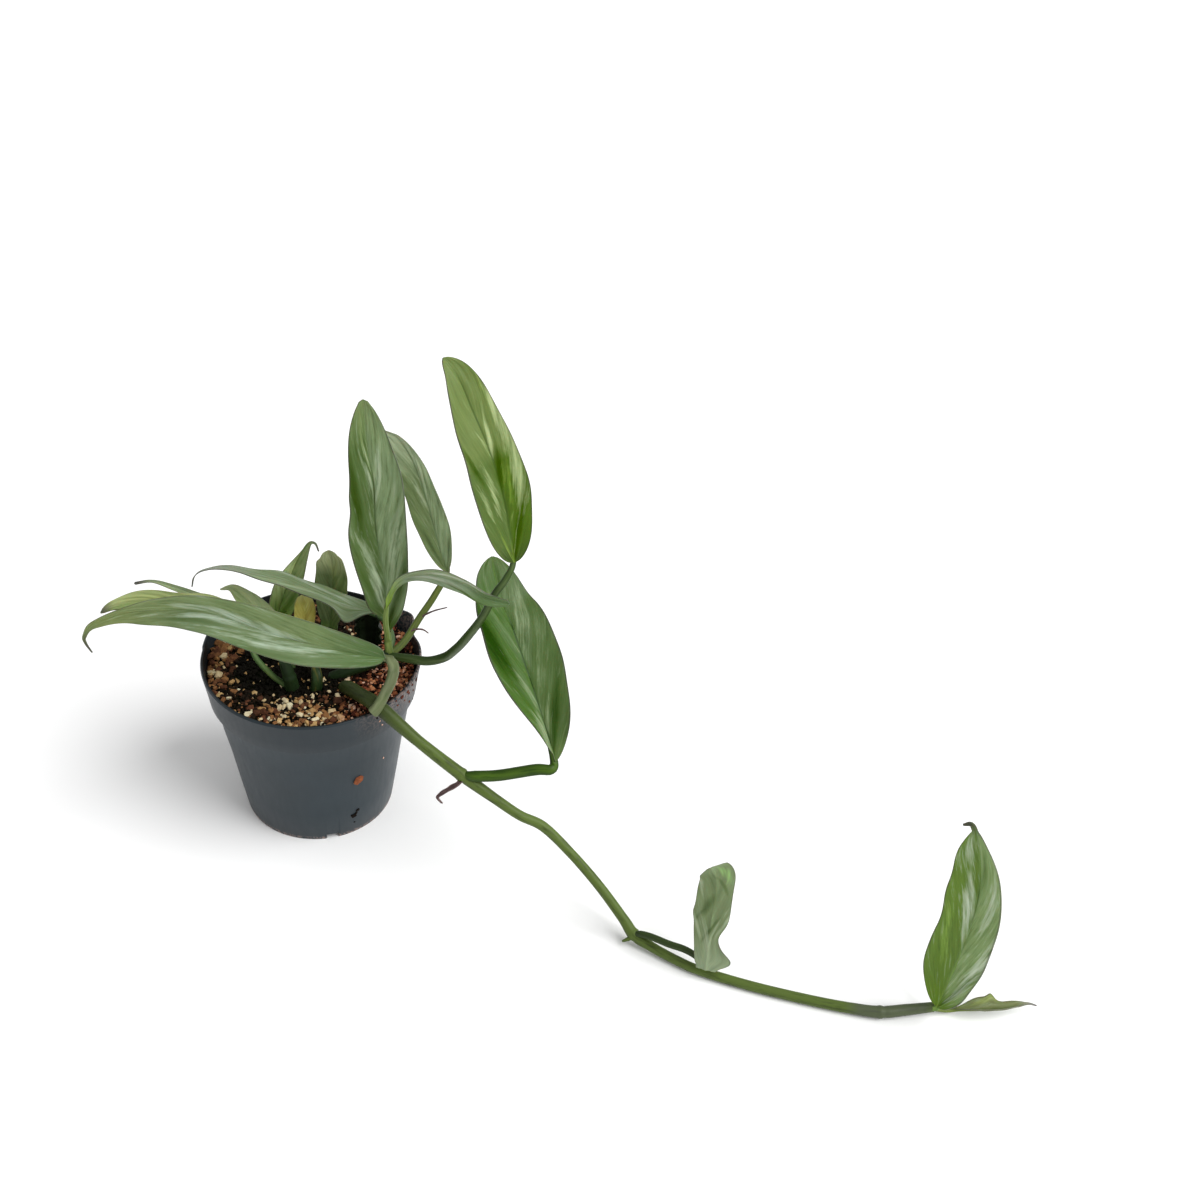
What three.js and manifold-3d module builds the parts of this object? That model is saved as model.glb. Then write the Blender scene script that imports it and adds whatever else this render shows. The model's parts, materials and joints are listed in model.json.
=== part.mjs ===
// A young trailing epipremnum with long pointed leaves, growing in a 12 cm nursery pot.
// Millimetres, +Z up. The origin is the middle of the pot's foot on the floor; the long vine trails to +X.
import * as THREE from "three";
import { mergeVertices } from "three/addons/utils/BufferGeometryUtils.js";
import Module from "manifold-3d";

const wasm = await Module();
wasm.setup();
const { Manifold, Mesh } = wasm;

// Driving dimensions
const FIT_GAP = 0.3;
const BLADE = { midrib: 1.3, edge: 0.7, leastHalf: 0.8, steps: 13, strips: 2, midribFoot: 0.14 };
const POT = {
  height: 102,
  rim: 60,
  rimRound: 1,
  bandFoot: 57,
  bandFootAt: 81,
  shoulder: 54,
  shoulderAt: 79,
  foot: 42,
  footRing: 2.6,
  footDisc: 12,
  footSlope: 0.7,
  wall: 1.5,
  floor: 3,
  plate: 1.6,
  sides: 40,
  notches: 4,
  notchWidth: 7,
  notchHeight: 3.6,
  notchDepth: 8,
  notchTurn: -1.22,
  holes: 6,
  holeRing: 27,
  holeRadius: 3.5,
  holeSides: 10,
};
const SOIL = {
  level: 94,
  heap: 3,
  heapAt: [18, -24],
  heapSpread: 1400,
  edgeDrop: 2,
  sides: 36,
  rings: [49, 42, 34, 26, 18, 10, 3],
  chips: 78,
  chipLeast: 3.4,
  chipMost: 7,
  chipTilt: 0.35,
  chipTurn: 2.4,
  chipReach: 50,
  seed: 12,
};

const MATERIALS = {
  pot: { color: "#3c4852", roughness: 0.55, metalness: 0 },
  soil: { color: "#5a3a2a", roughness: 0.95, metalness: 0 },
  vine: { color: "#5b7a36", roughness: 0.55, metalness: 0 },
  shoot: { color: "#33502a", roughness: 0.6, metalness: 0 },
  leaf: { color: "#4f7440", roughness: 0.5, metalness: 0 },
  lime: { color: "#7d9a45", roughness: 0.5, metalness: 0 },
  pale: { color: "#8fa07a", roughness: 0.6, metalness: 0 },
  dry: { color: "#5c4547", roughness: 0.9, metalness: 0 },
};

// Stems: points along the middle and the radius at each point.
const VINE = {
  path: [
    [20, -18, 84], [22, -20, 97], [33, -34, 105], [44.5, -44.5, 107], [67, -54.5, 93.5], [90.5, -62, 79],
    [109, -67, 68], [122, -69.5, 60], [135, -69, 52], [151, -75, 39], [167, -84, 25.5], [181, -93.5, 12],
    [187.5, -99.5, 6.4], [197, -105, 4.4], [210, -112, 3.6], [224, -118, 3.2], [251, -125.5, 3.1],
    [280, -131.5, 3.1], [301, -135, 3.4], [317, -136.5, 3.8], [331, -134, 4], [345, -131.5, 4.8],
  ],
  radii: [
    4, 4, 3.9, 4.1, 3.1, 3.5, 2.8, 2.7, 2.8, 2.6, 2.7, 2.8, 3.3, 2.7, 2.6, 2.6, 2.65, 2.75, 2.9, 3.2, 3, 2.6,
  ],
};
const ROOT_STUB = { path: [[187, -100, 6], [184.5, -101.5, 5], [181.5, -102, 3.4]], radii: [1.6, 1.2, 0.6] };
const STEM_BACK = {
  path: [[9, -9, 84], [11, -10, 93], [23, -10, 101], [35, -8, 106], [44, -5, 110.5]],
  radii: [3.4, 3.4, 3.2, 3.2, 3.4],
};
const STEM_CENTRE = {
  path: [[-4, -22, 84], [-6, -22, 93], [-7.5, -22.5, 104], [-10, -21, 114]],
  radii: [4.2, 4.2, 3.6, 3],
};
const DRY_SCALE = {
  path: [
    [91, -62, 78.6], [88.6, -66.2, 77], [84, -66.6, 73], [80, -66.4, 69], [77.6, -66, 65], [80, -66, 61],
  ],
  radii: [1.1, 1.2, 1.2, 1, 0.8, 0.5],
};

// Leaves.
// rib: points along the midrib, base first. face: where the upper side looks, at the base and at the tip.
// half: half the blade's width at its widest, which lies at the share "peak" of its length.
// full: how full the outline is. fold: how far the halves fold up, in radians, at base and tip.
// tail: the share of the length that is a thin drip tip. stalk: the petiole's points up to the blade.
// radii: the petiole's radius at each of them. on: the stems and stalks that its foot clasps.
const LEAVES = {
  leaf_long: {
    rib: [
      [48, -42, 139], [27, -42, 141], [-7, -38, 145], [-49, -30, 151], [-88, -24, 142], [-109, -22, 131],
      [-116, -21, 121], [-116, -21, 116], [-114, -20, 109],
    ],
    face: [[0, -0.8, 0.7], [-0.1, -1, 0]], half: 12.5, peak: 0.31, full: 1.34, fold: [0.55, 0.44], tail: 0.08,
    stalk: [[44, -44.5, 107], [44.5, -44, 112], [48, -44, 121], [53, -44, 130], [53, -43, 136]],
    radii: [2.2, 2.4, 2.5, 2.5, 2.5], on: ["vine"], finish: "leaf",
  },
  leaf_olive: {
    rib: [
      [-29, -16, 120], [-37, -16, 134], [-51, -16, 143], [-69, -17, 145], [-84, -18, 145], [-98, -19, 141],
      [-106, -19, 136],
    ],
    face: [[0.7, -0.6, 0.4], [-0.3, -0.6, 0.8]], half: 8, peak: 0.36, full: 1, fold: [0.43, 0.47], tail: 0,
    stalk: [[-6, -22, 95], [-12, -21, 98], [-18, -21, 104], [-25, -20, 113]],
    radii: [1.6, 1.7, 1.7, 1.6], on: ["stem_centre"], finish: "lime",
  },
  leaf_thin: {
    rib: [[-19, -6, 122], [-33, -5, 134], [-52, -3, 139], [-70, -1, 143], [-82, -1, 146], [-92, -2, 144]],
    face: [[0.5, -0.6, 0.6], [0, -0.6, 0.8]], half: 3.2, peak: 0.3, full: 1.67, fold: [0.35, 0.21], tail: 0,
    stalk: [[-9.5, -21, 112], [-12, -15, 115]],
    radii: [1.5, 1.6], on: ["stem_centre"], finish: "leaf",
  },
  leaf_arching: {
    rib: [
      [36, 10, 126], [18, 9, 132], [-5, 8, 143], [-29, 7, 150], [-45, 6, 153], [-56, 5, 151], [-61, 4, 147],
      [-63, 4, 140],
    ],
    face: [[0.3, 0.2, 0.9], [-0.4, 0.2, 0.9]], half: 12.5, peak: 0.2, full: 1.2, fold: [0, 0], tail: 0.14,
    stalk: [[43, -4, 110], [44, 4, 113], [41, 9, 119]],
    radii: [1.7, 1.9, 1.9], on: ["stem_back"], finish: "leaf",
  },
  leaf_low: {
    rib: [[-15, 3, 108], [-24, 5, 120], [-35, 8, 130], [-43, 10, 136], [-50, 11, 134]],
    face: [[0.5, -0.7, 0.5], [-0.2, -0.6, 0.8]], half: 6.4, peak: 0.45, full: 1.63, fold: [0.35, 0.22],
    tail: 0.08, stalk: [[-9, -5, 84], [-10, -4, 93], [-12, -1, 101]],
    radii: [1.9, 1.9, 1.7], on: [], finish: "leaf",
  },
  leaf_folded: {
    rib: [
      [-25, 21, 102], [-21, 22, 116], [-14, 25, 137], [-9, 27, 149], [-4, 28, 157], [0, 27, 158],
      [2, 25, 154],
    ],
    face: [[0.2, -1, 0], [-0.1, -1, 0.1]], half: 9.5, peak: 0.36, full: 1.4, fold: [0.76, 0.5], tail: 0.18,
    stalk: [[-27, 19, 84], [-27, 20, 93]],
    radii: [2, 2], on: [], finish: "leaf",
  },
  leaf_round: {
    rib: [[5, 27, 100], [6, 29, 111], [7, 32, 126], [7, 34, 139], [5, 36, 147]],
    face: [[-0.1, -1, 0.2], [-0.2, -1, 0.2]], half: 9.5, peak: 0.66, full: 1.48, fold: [0.28, 0.21], tail: 0,
    stalk: [[5, 25, 84], [5, 26, 92]],
    radii: [2.2, 2.2], on: [], finish: "lime",
  },
  leaf_bud: {
    rib: [[-3, 4, 108], [-4, 7, 119], [-4, 9, 127], [-4, 10, 136]],
    face: [[0.2, -0.9, 0.3], [0.2, -1, 0.1]], half: 5.8, peak: 0.66, full: 1.6, fold: [0.35, 0.2], tail: 0,
    stalk: [[6, -21, 84], [6, -21, 93], [7, -20.5, 104], [3, -10, 108]],
    radii: [3.4, 3.4, 3, 2], on: [], finish: "lime",
  },
  leaf_tall: {
    rib: [[42, -2, 141], [42, -2, 160], [38, 0, 189], [37, 4, 214], [34, 8, 232], [31, 16, 257]],
    face: [[0.3, -0.9, 0], [0.3, -0.9, 0.3]], half: 16.5, peak: 0.44, full: 1.17, fold: [0.66, 0.2], tail: 0,
    stalk: [[44, -5, 111], [43.5, -5, 120], [41.5, -3, 132]],
    radii: [2.6, 2.5, 2.3], on: ["stem_back", "leaf_arching"], finish: "leaf",
  },
  leaf_back: {
    rib: [[71, 30, 143], [68, 31, 153], [61, 33, 182], [54, 34, 207], [45, 36, 223], [37, 38, 226]],
    face: [[-0.1, -1, 0.1], [-0.1, -1, 0.1]], half: 11.5, peak: 0.42, full: 1.6, fold: [0.45, 0.3], tail: 0,
    stalk: [[44.5, -4.5, 110], [51, 4, 113], [58, 16, 121], [65, 25, 130]],
    radii: [2, 2.2, 2.2, 2.2], on: ["stem_back", "leaf_tall", "leaf_arching"], finish: "leaf",
    wisp: {
      path: [[58, 15.5, 121], [60, 16, 122], [66, 16, 126], [73, 16, 129]],
      radii: [0.9, 0.8, 0.6, 0.4],
    },
  },
  leaf_bow: {
    rib: [
      [44, -11, 147], [48, -16, 162], [54, -21, 174], [64, -26, 182], [75, -31, 186], [88, -35, 185],
      [99, -38, 180], [111, -40, 179],
    ],
    face: [[-0.1, -1, -0.3], [-0.1, -1, 0.3]], half: 4.8, peak: 0.66, full: 1.6, fold: [0.25, 0.42], tail: 0,
    stalk: [[43.6, -6, 121], [43.4, -8.6, 130], [43.2, -9.6, 138]],
    radii: [1.4, 1.6, 1.6], on: ["stem_back", "leaf_tall"], finish: "lime",
  },
  leaf_splashed: {
    rib: [
      [112, -28, 196], [109, -26, 214], [104, -22, 236], [97, -18, 256], [88, -13, 275], [81, -9, 289],
      [74, -7, 297],
    ],
    face: [[0.4, -0.9, 0.2], [0.6, -0.7, 0.5]], half: 15.3, peak: 0.46, full: 1.12, fold: [0.08, 0.24],
    tail: 0,
    stalk: [
      [44.5, -6, 110], [56, -10, 110.5], [66, -12, 111], [76, -13, 115], [82, -19, 126], [88, -25.5, 139],
      [97, -32, 160], [103, -33, 178], [108, -31, 187],
    ],
    radii: [2.2, 2.6, 2.6, 2.7, 2.6, 2.5, 2.4, 2.3, 2.2], on: ["stem_back", "leaf_tall", "leaf_back"],
    finish: "lime",
  },
  leaf_front: {
    rib: [[139, -62, 94], [132, -54, 113], [123, -40, 130], [111, -18, 147], [104, -6, 156], [98, 8, 172]],
    face: [[0.4, -0.8, 0.5], [0.5, -0.6, 0.7]], half: 20, peak: 0.53, full: 1.33, fold: [0.5, 0], tail: 0,
    stalk: [[90.5, -62, 79], [97, -64, 81], [110, -64, 83], [129, -65, 90], [137, -65, 91]],
    radii: [2, 2.6, 2.6, 2.6, 2.6], on: ["vine"], finish: "leaf",
  },
  leaf_cupped: {
    rib: [[224, -115, 10], [225, -113, 28], [226, -111, 48], [226, -108, 62], [221, -108, 72]],
    face: [[0.3, 1, -0.1], [-0.2, 1, -0.1]], half: 11.7, peak: 0.52, full: 0.95, fold: [0.4, 0.5], tail: 0,
    stalk: [
      [187.5, -99.5, 6.6], [191, -101.5, 9.6], [197, -104.5, 11.4], [206, -108.5, 11.6], [217, -110.5, 10.8],
    ],
    radii: [1.8, 2, 2, 2, 2], on: ["vine"], finish: "pale",
  },
  leaf_upright: {
    rib: [
      [346, -134, 8.4], [351, -128, 29], [355, -122, 56], [357, -114, 77], [354, -106, 97], [349, -102, 110],
      [344, -101, 109],
    ],
    face: [[-0.7, -0.6, 0.3], [-0.6, -0.8, 0]], half: 17.5, peak: 0.47, full: 1.2, fold: [0.28, 0.31],
    tail: 0.08, stalk: [[343, -132, 5]],
    radii: [1.8], on: ["vine"], finish: "lime",
  },
  leaf_end: {
    rib: [[352, -131.5, 4.4], [365, -131, 3.8], [381, -130, 4], [394, -126, 7], [400, -126, 6]],
    face: [[0, -0.2, 1], [-0.1, 0.1, 1]], half: 8.5, peak: 0.5, full: 2.2, fold: [1, 0.7], tail: 0,
    stalk: [[344.5, -131.6, 4.8]],
    radii: [2], on: ["vine", "leaf_upright"], finish: "leaf",
  },
};

// Small helpers
const vec = ([x, y, z]) => new THREE.Vector3(x, y, z);
const mix = THREE.MathUtils.lerp;
const smoothCurve = (points) => new THREE.CatmullRomCurve3(points.map(vec), false, "catmullrom", 0.5);

/** Same numbers in each run: a small generator that starts from a seed. */
function randomFrom(seed) {
  let state = seed;
  return () => {
    state = (state * 1664525 + 1013904223) % 4294967296;
    return state / 4294967296;
  };
}

/** The solid inside a closed three.js geometry. */
function solidFrom(geometry) {
  geometry.deleteAttribute("normal");
  geometry.deleteAttribute("uv");
  const merged = mergeVertices(geometry);
  return new Manifold(
    new Mesh({
      numProp: 3,
      vertProperties: new Float32Array(merged.getAttribute("position").array),
      triVerts: new Uint32Array(merged.index.array),
    }),
  );
}

/** A closed solid through rings of equally many points, whose two halves are split into like triangles. */
function loft(rings) {
  const count = rings[0].length;
  const faces = [];
  for (let i = 0; i + 1 < rings.length; i++) {
    for (let j = 0; j < count; j++) {
      const k = (j + 1) % count;
      const [a, b, c, d] = [i * count + j, i * count + k, (i + 1) * count + j, (i + 1) * count + k];
      if (j < count / 2) faces.push(a, b, d, a, d, c);
      else faces.push(a, b, c, b, d, c);
    }
  }
  const last = (rings.length - 1) * count;
  for (let low = 0, high = count - 1; low < high; ) {
    faces.push(low, high, low + 1, last + low, last + low + 1, last + high);
    low += 1;
    if (low < high) {
      faces.push(low, high, high - 1, last + low, last + high - 1, last + high);
      high -= 1;
    }
  }
  const solid = solidFrom(new THREE.BufferGeometry().setFromPoints(rings.flat()).setIndex(faces));
  if (solid.volume() > 0) return solid;
  return loft(rings.map((ring) => [...ring].reverse()));
}

/** Frames at equal steps along a smooth curve through the points: place, direction, normal and side. */
function frames(points, steps, faceAt) {
  const curve = smoothCurve(points);
  return Array.from({ length: steps + 1 }, (_, i) => {
    const t = i / steps;
    const place = curve.getPointAt(t);
    const direction = curve.getTangentAt(t);
    const face = faceAt(t);
    const normal = face.addScaledVector(direction, -face.dot(direction)).normalize();
    return { t, place, direction, normal, side: direction.clone().cross(normal) };
  });
}

/** A round tube along the points, whose radius changes from each of them to the next. */
function tube({ path, radii }, { grow = 0, sides = 7, steps = 2 * path.length, face = [0.1, 1, 0.3] } = {}) {
  const lengths = [0];
  for (let i = 1; i < path.length; i++) {
    lengths.push(lengths[i - 1] + vec(path[i]).distanceTo(vec(path[i - 1])));
  }
  const radiusAt = (t) => {
    const at = t * lengths.at(-1);
    const i = Math.max(1, lengths.findIndex((length) => length >= at - 1e-6));
    return mix(radii[i - 1], radii[i], (at - lengths[i - 1]) / (lengths[i] - lengths[i - 1]));
  };
  return loft(
    frames(path, steps, () => vec(face)).map(({ t, place, direction, normal, side }) =>
      Array.from({ length: sides }, (_, j) => {
        const turn = (2 * Math.PI * j) / sides;
        const overrun = grow * ((t === 1) - (t === 0));
        return place
          .clone()
          .addScaledVector(direction, overrun)
          .addScaledVector(side, (radiusAt(t) + grow) * Math.cos(turn))
          .addScaledVector(normal, (radiusAt(t) + grow) * Math.sin(turn));
      }),
    ),
  );
}

/** The largest of the bodies that a cut has left. */
function largest(solid) {
  return solid.decompose().sort((a, b) => b.volume() - a.volume())[0];
}

/** Half the blade's width at the share t of the rib. */
function halfWidth(leaf, t) {
  const u = Math.min(t / (1 - leaf.tail), 1);
  const rise = leaf.full * leaf.peak;
  const fall = leaf.full * (1 - leaf.peak);
  const most = leaf.peak ** rise * (1 - leaf.peak) ** fall;
  return Math.max((leaf.half * u ** rise * (1 - u) ** fall) / most, BLADE.leastHalf);
}

/** A leaf blade: two halves that fold up from the rib, thick at the rib and thin at the edge. */
function blade(leaf) {
  const [baseFace, tipFace] = leaf.face.map(vec);
  const shares = Array.from({ length: 2 * BLADE.strips + 1 }, (_, j) => (j - BLADE.strips) / BLADE.strips);
  const ring = ({ t, place, normal, side }) => {
    const fold = mix(leaf.fold[0], leaf.fold[1], t);
    const half = halfWidth(leaf, t);
    const point = (share, up) => {
      const thickness = mix(BLADE.midrib, BLADE.edge, Math.abs(share));
      return place
        .clone()
        .addScaledVector(side, share * half * Math.cos(fold))
        .addScaledVector(normal, Math.abs(share) * half * Math.sin(fold))
        .addScaledVector(normal, (up * thickness) / 2);
    };
    const upper = shares.map((share) => point(share, 1));
    const lower = shares.toReversed().map((share) => point(share, -1));
    return [...upper, ...lower];
  };
  return loft(frames(leaf.rib, BLADE.steps, (t) => baseFace.clone().lerp(tipFace, t)).map(ring));
}

/** The petiole of a leaf, which runs on under the blade as the foot of its midrib. */
function stalkOf(leaf) {
  const under = smoothCurve(leaf.rib).getPointAt(BLADE.midribFoot);
  return {
    path: [...leaf.stalk, leaf.rib[0], under.toArray()],
    radii: [...leaf.radii, leaf.radii.at(-1) * 0.85, 0.5],
  };
}

// The pot
function potOuterRadius(z) {
  if (z <= POT.shoulderAt) return mix(POT.foot, POT.shoulder, z / POT.shoulderAt);
  return mix(POT.bandFoot, POT.rim, (z - POT.bandFootAt) / (POT.height - POT.bandFootAt));
}

function nurseryPot() {
  const inside = (z) => [potOuterRadius(z) - POT.wall, z];
  const outline = [
    [0, 0], [POT.footDisc, 0], [POT.footDisc + POT.footSlope, POT.floor],
    [POT.foot - POT.footRing - POT.footSlope, POT.floor], [POT.foot - POT.footRing, 0], [POT.foot, 0],
    [POT.shoulder, POT.shoulderAt], [POT.bandFoot, POT.bandFootAt], [POT.rim, POT.height - POT.rimRound],
    [POT.rim - POT.rimRound / 2, POT.height], [POT.rim - POT.wall, POT.height],
    inside(POT.bandFootAt + POT.wall), inside(POT.shoulderAt - POT.rimRound),
    inside(POT.floor + POT.plate), [0, POT.floor + POT.plate],
  ];
  const body = new THREE.LatheGeometry(outline.map(([r, z]) => new THREE.Vector2(r, z)), POT.sides);
  let pot = solidFrom(body.rotateX(Math.PI / 2));
  for (let i = 0; i < POT.notches; i++) {
    const notch = new THREE.BoxGeometry(POT.notchDepth, POT.notchWidth, 2 * POT.notchHeight);
    notch.translate(POT.foot, 0, 0).rotateZ((2 * Math.PI * i) / POT.notches + POT.notchTurn);
    pot = pot.subtract(solidFrom(notch));
  }
  for (let i = 0; i < POT.holes; i++) {
    const depth = 4 * POT.floor;
    const hole = new THREE.CylinderGeometry(POT.holeRadius, POT.holeRadius, depth, POT.holeSides);
    hole.rotateX(Math.PI / 2).translate(POT.holeRing, 0, POT.floor);
    pot = pot.subtract(solidFrom(hole.rotateZ((2 * Math.PI * i) / POT.holes)));
  }
  return pot;
}

// The soil: one plug that fills the pot, with an uneven top and bark chips pressed into it.
function soilHeight(x, y) {
  const [heapX, heapY] = SOIL.heapAt;
  const heap = SOIL.heap * Math.exp(-((x - heapX) ** 2 + (y - heapY) ** 2) / SOIL.heapSpread);
  const broad = 0.9 * Math.sin(x * 0.21 + 1) * Math.cos(y * 0.17);
  const fine = 0.6 * Math.sin(x * 0.43 - y * 0.37);
  return SOIL.level + heap + broad + fine;
}

function barkChips() {
  const random = randomFrom(SOIL.seed);
  return Array.from({ length: SOIL.chips }, (_, i) => {
    const radius = SOIL.chipReach * Math.sqrt((i + 0.5) / SOIL.chips);
    const turn = SOIL.chipTurn * i + 0.5 * random();
    const [x, y] = [radius * Math.cos(turn), radius * Math.sin(turn)];
    const size = mix(SOIL.chipLeast, SOIL.chipMost, random());
    const chip = new THREE.BoxGeometry(size, size * mix(0.45, 0.8, random()), size / 2);
    chip.rotateX(SOIL.chipTilt * (2 * random() - 1));
    chip.rotateY(SOIL.chipTilt * (2 * random() - 1));
    chip.rotateZ(2 * Math.PI * random());
    return solidFrom(chip.translate(x, y, soilHeight(x, y)));
  });
}

function soilPlug() {
  const ring = (radius, heightAt) =>
    Array.from({ length: SOIL.sides }, (_, i) => {
      const turn = (2 * Math.PI * i) / SOIL.sides;
      const [x, y] = [radius * Math.cos(turn), radius * Math.sin(turn)];
      return new THREE.Vector3(x, y, heightAt(x, y));
    });
  const clearOfWall = (z) => potOuterRadius(z) - POT.wall - 2 * FIT_GAP;
  const low = POT.floor + POT.plate + FIT_GAP;
  return Manifold.union([
    loft([
      ring(clearOfWall(low), () => low),
      ring(clearOfWall(POT.shoulderAt) - FIT_GAP, () => POT.shoulderAt),
      ring(clearOfWall(POT.bandFootAt) - FIT_GAP, () => POT.bandFootAt + POT.wall),
      ring(clearOfWall(SOIL.level), (x, y) => soilHeight(x, y) - SOIL.edgeDrop),
      ...SOIL.rings.map((radius) => ring(radius, soilHeight)),
    ]),
    ...barkChips(),
  ]);
}

// Put the object together. Each solid is cut back by FIT_GAP where it clasps or stands in another one.
const solids = {};
const grown = {};

const STEMS = {
  vine: { shape: VINE, steps: 38 },
  stem_back: { shape: STEM_BACK, steps: 9 },
  stem_centre: { shape: STEM_CENTRE, steps: 6 },
};
for (const [name, { shape, steps }] of Object.entries(STEMS)) {
  solids[name] = tube(shape, { sides: 8, steps });
  grown[name] = tube(shape, { sides: 8, steps, grow: FIT_GAP });
}
solids.vine = solids.vine.add(tube(ROOT_STUB, { sides: 5, steps: 3 }));

for (const [name, leaf] of Object.entries(LEAVES)) {
  const stalk = stalkOf(leaf);
  const options = { face: leaf.face[0], steps: stalk.path.length + 1 };
  let solid = blade(leaf).add(tube(stalk, options));
  grown[name] = tube(stalk, { ...options, grow: FIT_GAP });
  if (leaf.wisp) solid = solid.add(tube(leaf.wisp, { sides: 4, steps: 4 }));
  for (const other of leaf.on) solid = solid.subtract(grown[other]);
  solids[name] = largest(solid);
}
solids.dry_scale = largest(tube(DRY_SCALE, { sides: 5 }).subtract(grown.vine));
solids.pot = nurseryPot();
solids.soil = soilPlug();
for (const standing of Object.values(grown)) solids.soil = solids.soil.subtract(standing);
solids.soil = largest(solids.soil);

const FINISHES = {
  pot: "pot",
  soil: "soil",
  vine: "vine",
  stem_back: "shoot",
  stem_centre: "shoot",
  dry_scale: "dry",
};

const plant = new THREE.Group();
plant.name = "potted_epipremnum";
for (const [name, solid] of Object.entries(solids)) {
  const { vertProperties, numProp, numVert, triVerts } = solid.getMesh();
  const places = new Float32Array(numVert * 3);
  for (let i = 0; i < numVert; i++) places.set(vertProperties.subarray(i * numProp, i * numProp + 3), i * 3);
  const geometry = new THREE.BufferGeometry()
    .setAttribute("position", new THREE.BufferAttribute(places, 3))
    .setIndex(new THREE.BufferAttribute(triVerts, 1));
  const finish = MATERIALS[FINISHES[name] ?? LEAVES[name].finish];
  const mesh = new THREE.Mesh(geometry, new THREE.MeshStandardMaterial(finish));
  mesh.name = name;
  plant.add(mesh);
}

export default plant;
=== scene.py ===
# Finishes a young trailing epipremnum in its nursery pot, piece by piece, around its CAD frame.
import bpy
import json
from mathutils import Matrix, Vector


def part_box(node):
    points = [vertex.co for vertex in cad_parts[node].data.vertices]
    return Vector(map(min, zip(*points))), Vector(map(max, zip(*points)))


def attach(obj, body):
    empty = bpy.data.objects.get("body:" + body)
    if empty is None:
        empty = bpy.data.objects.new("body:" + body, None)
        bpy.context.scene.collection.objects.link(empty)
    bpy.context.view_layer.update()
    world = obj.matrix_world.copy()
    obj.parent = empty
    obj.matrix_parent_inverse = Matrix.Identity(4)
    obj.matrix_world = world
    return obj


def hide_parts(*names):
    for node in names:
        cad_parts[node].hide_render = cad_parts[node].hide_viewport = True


bl_info = {
    "name": "Potted trailing epipremnum",
    "version": (1, 0, 0),
    "blender": (4, 5, 0),
    "location": "View3D > Sidebar > Epipremnum",
    "description": "Models and finishes a young trailing epipremnum in its nursery pot",
    "category": "Add Mesh",
}

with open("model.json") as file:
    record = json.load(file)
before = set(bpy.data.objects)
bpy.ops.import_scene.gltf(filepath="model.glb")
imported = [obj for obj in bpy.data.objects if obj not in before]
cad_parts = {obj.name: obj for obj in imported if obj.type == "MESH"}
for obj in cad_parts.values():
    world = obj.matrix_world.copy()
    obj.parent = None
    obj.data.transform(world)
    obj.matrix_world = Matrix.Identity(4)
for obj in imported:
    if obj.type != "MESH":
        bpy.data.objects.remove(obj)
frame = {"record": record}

import json
import math
import random

import bpy
import numpy as np
from bpy.props import FloatProperty, FloatVectorProperty, IntProperty, PointerProperty
from mathutils import Matrix, Vector, noise

MM = 0.001

# The pot: radii as shares of the rim's radius, and heights and thicknesses in millimetres.
FOOT, SHOULDER, BAND = 0.7, 0.9, 0.95
SHOULDER_AT, BAND_AT = 79, 81
WALL, FLOOR, FOOT_RING = 1.5, 4.6, 3

# Notches in the foot ring and drain holes in the floor: how many, where the first one is in degrees round
# from +X, the distance from the middle, and the size, in millimetres.
CUTS = {"notch": (4, -70, 42, (8, 7, 7.2)), "hole": (6, 0, 27, (3.5, 3.5, 12))}

# Dents of the soft rim: degrees round from +X, spread in degrees, and the share of the rim squash.
RIM_DENTS = [(40, 8, 1), (25, 7, -0.35), (163, 16, 0.42)]

# Crumbs on the pot's wall: degrees round from +X, height and size in millimetres, and how pale it is.
WALL_CRUMBS = [
    (-52, 46.6, 6.6, 0.56), (-51, 19.2, 2.6, 0), (-52, 17, 2, 0), (-54, 15.6, 3, 0), (-53, 9, 1.2, 0),
    (-32, 53.2, 1, 1), (-42, 92.2, 1.1, 1), (-41, 99, 1.9, 0), (-44, 96, 1.5, 0.05), (-40, 88, 0.8, 1),
    (-11, 91.2, 1.8, 0.45), (-6, 94, 1.5, 0.3), (-15, 86, 1.4, 0.5), (-8, 82, 1.2, 0.25),
    (-26, 99, 2.2, 0.42), (-20, 98, 2, 0.5), (-31, 100, 1.6, 0.4), (-29, 95, 1.4, 0.5), (-15, 99, 2.4, 0.4),
    (-22, 93, 1.2, 0.55), (-9, 98, 2.2, 0.35), (-18, 95, 1.6, 0.45),
]

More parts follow.
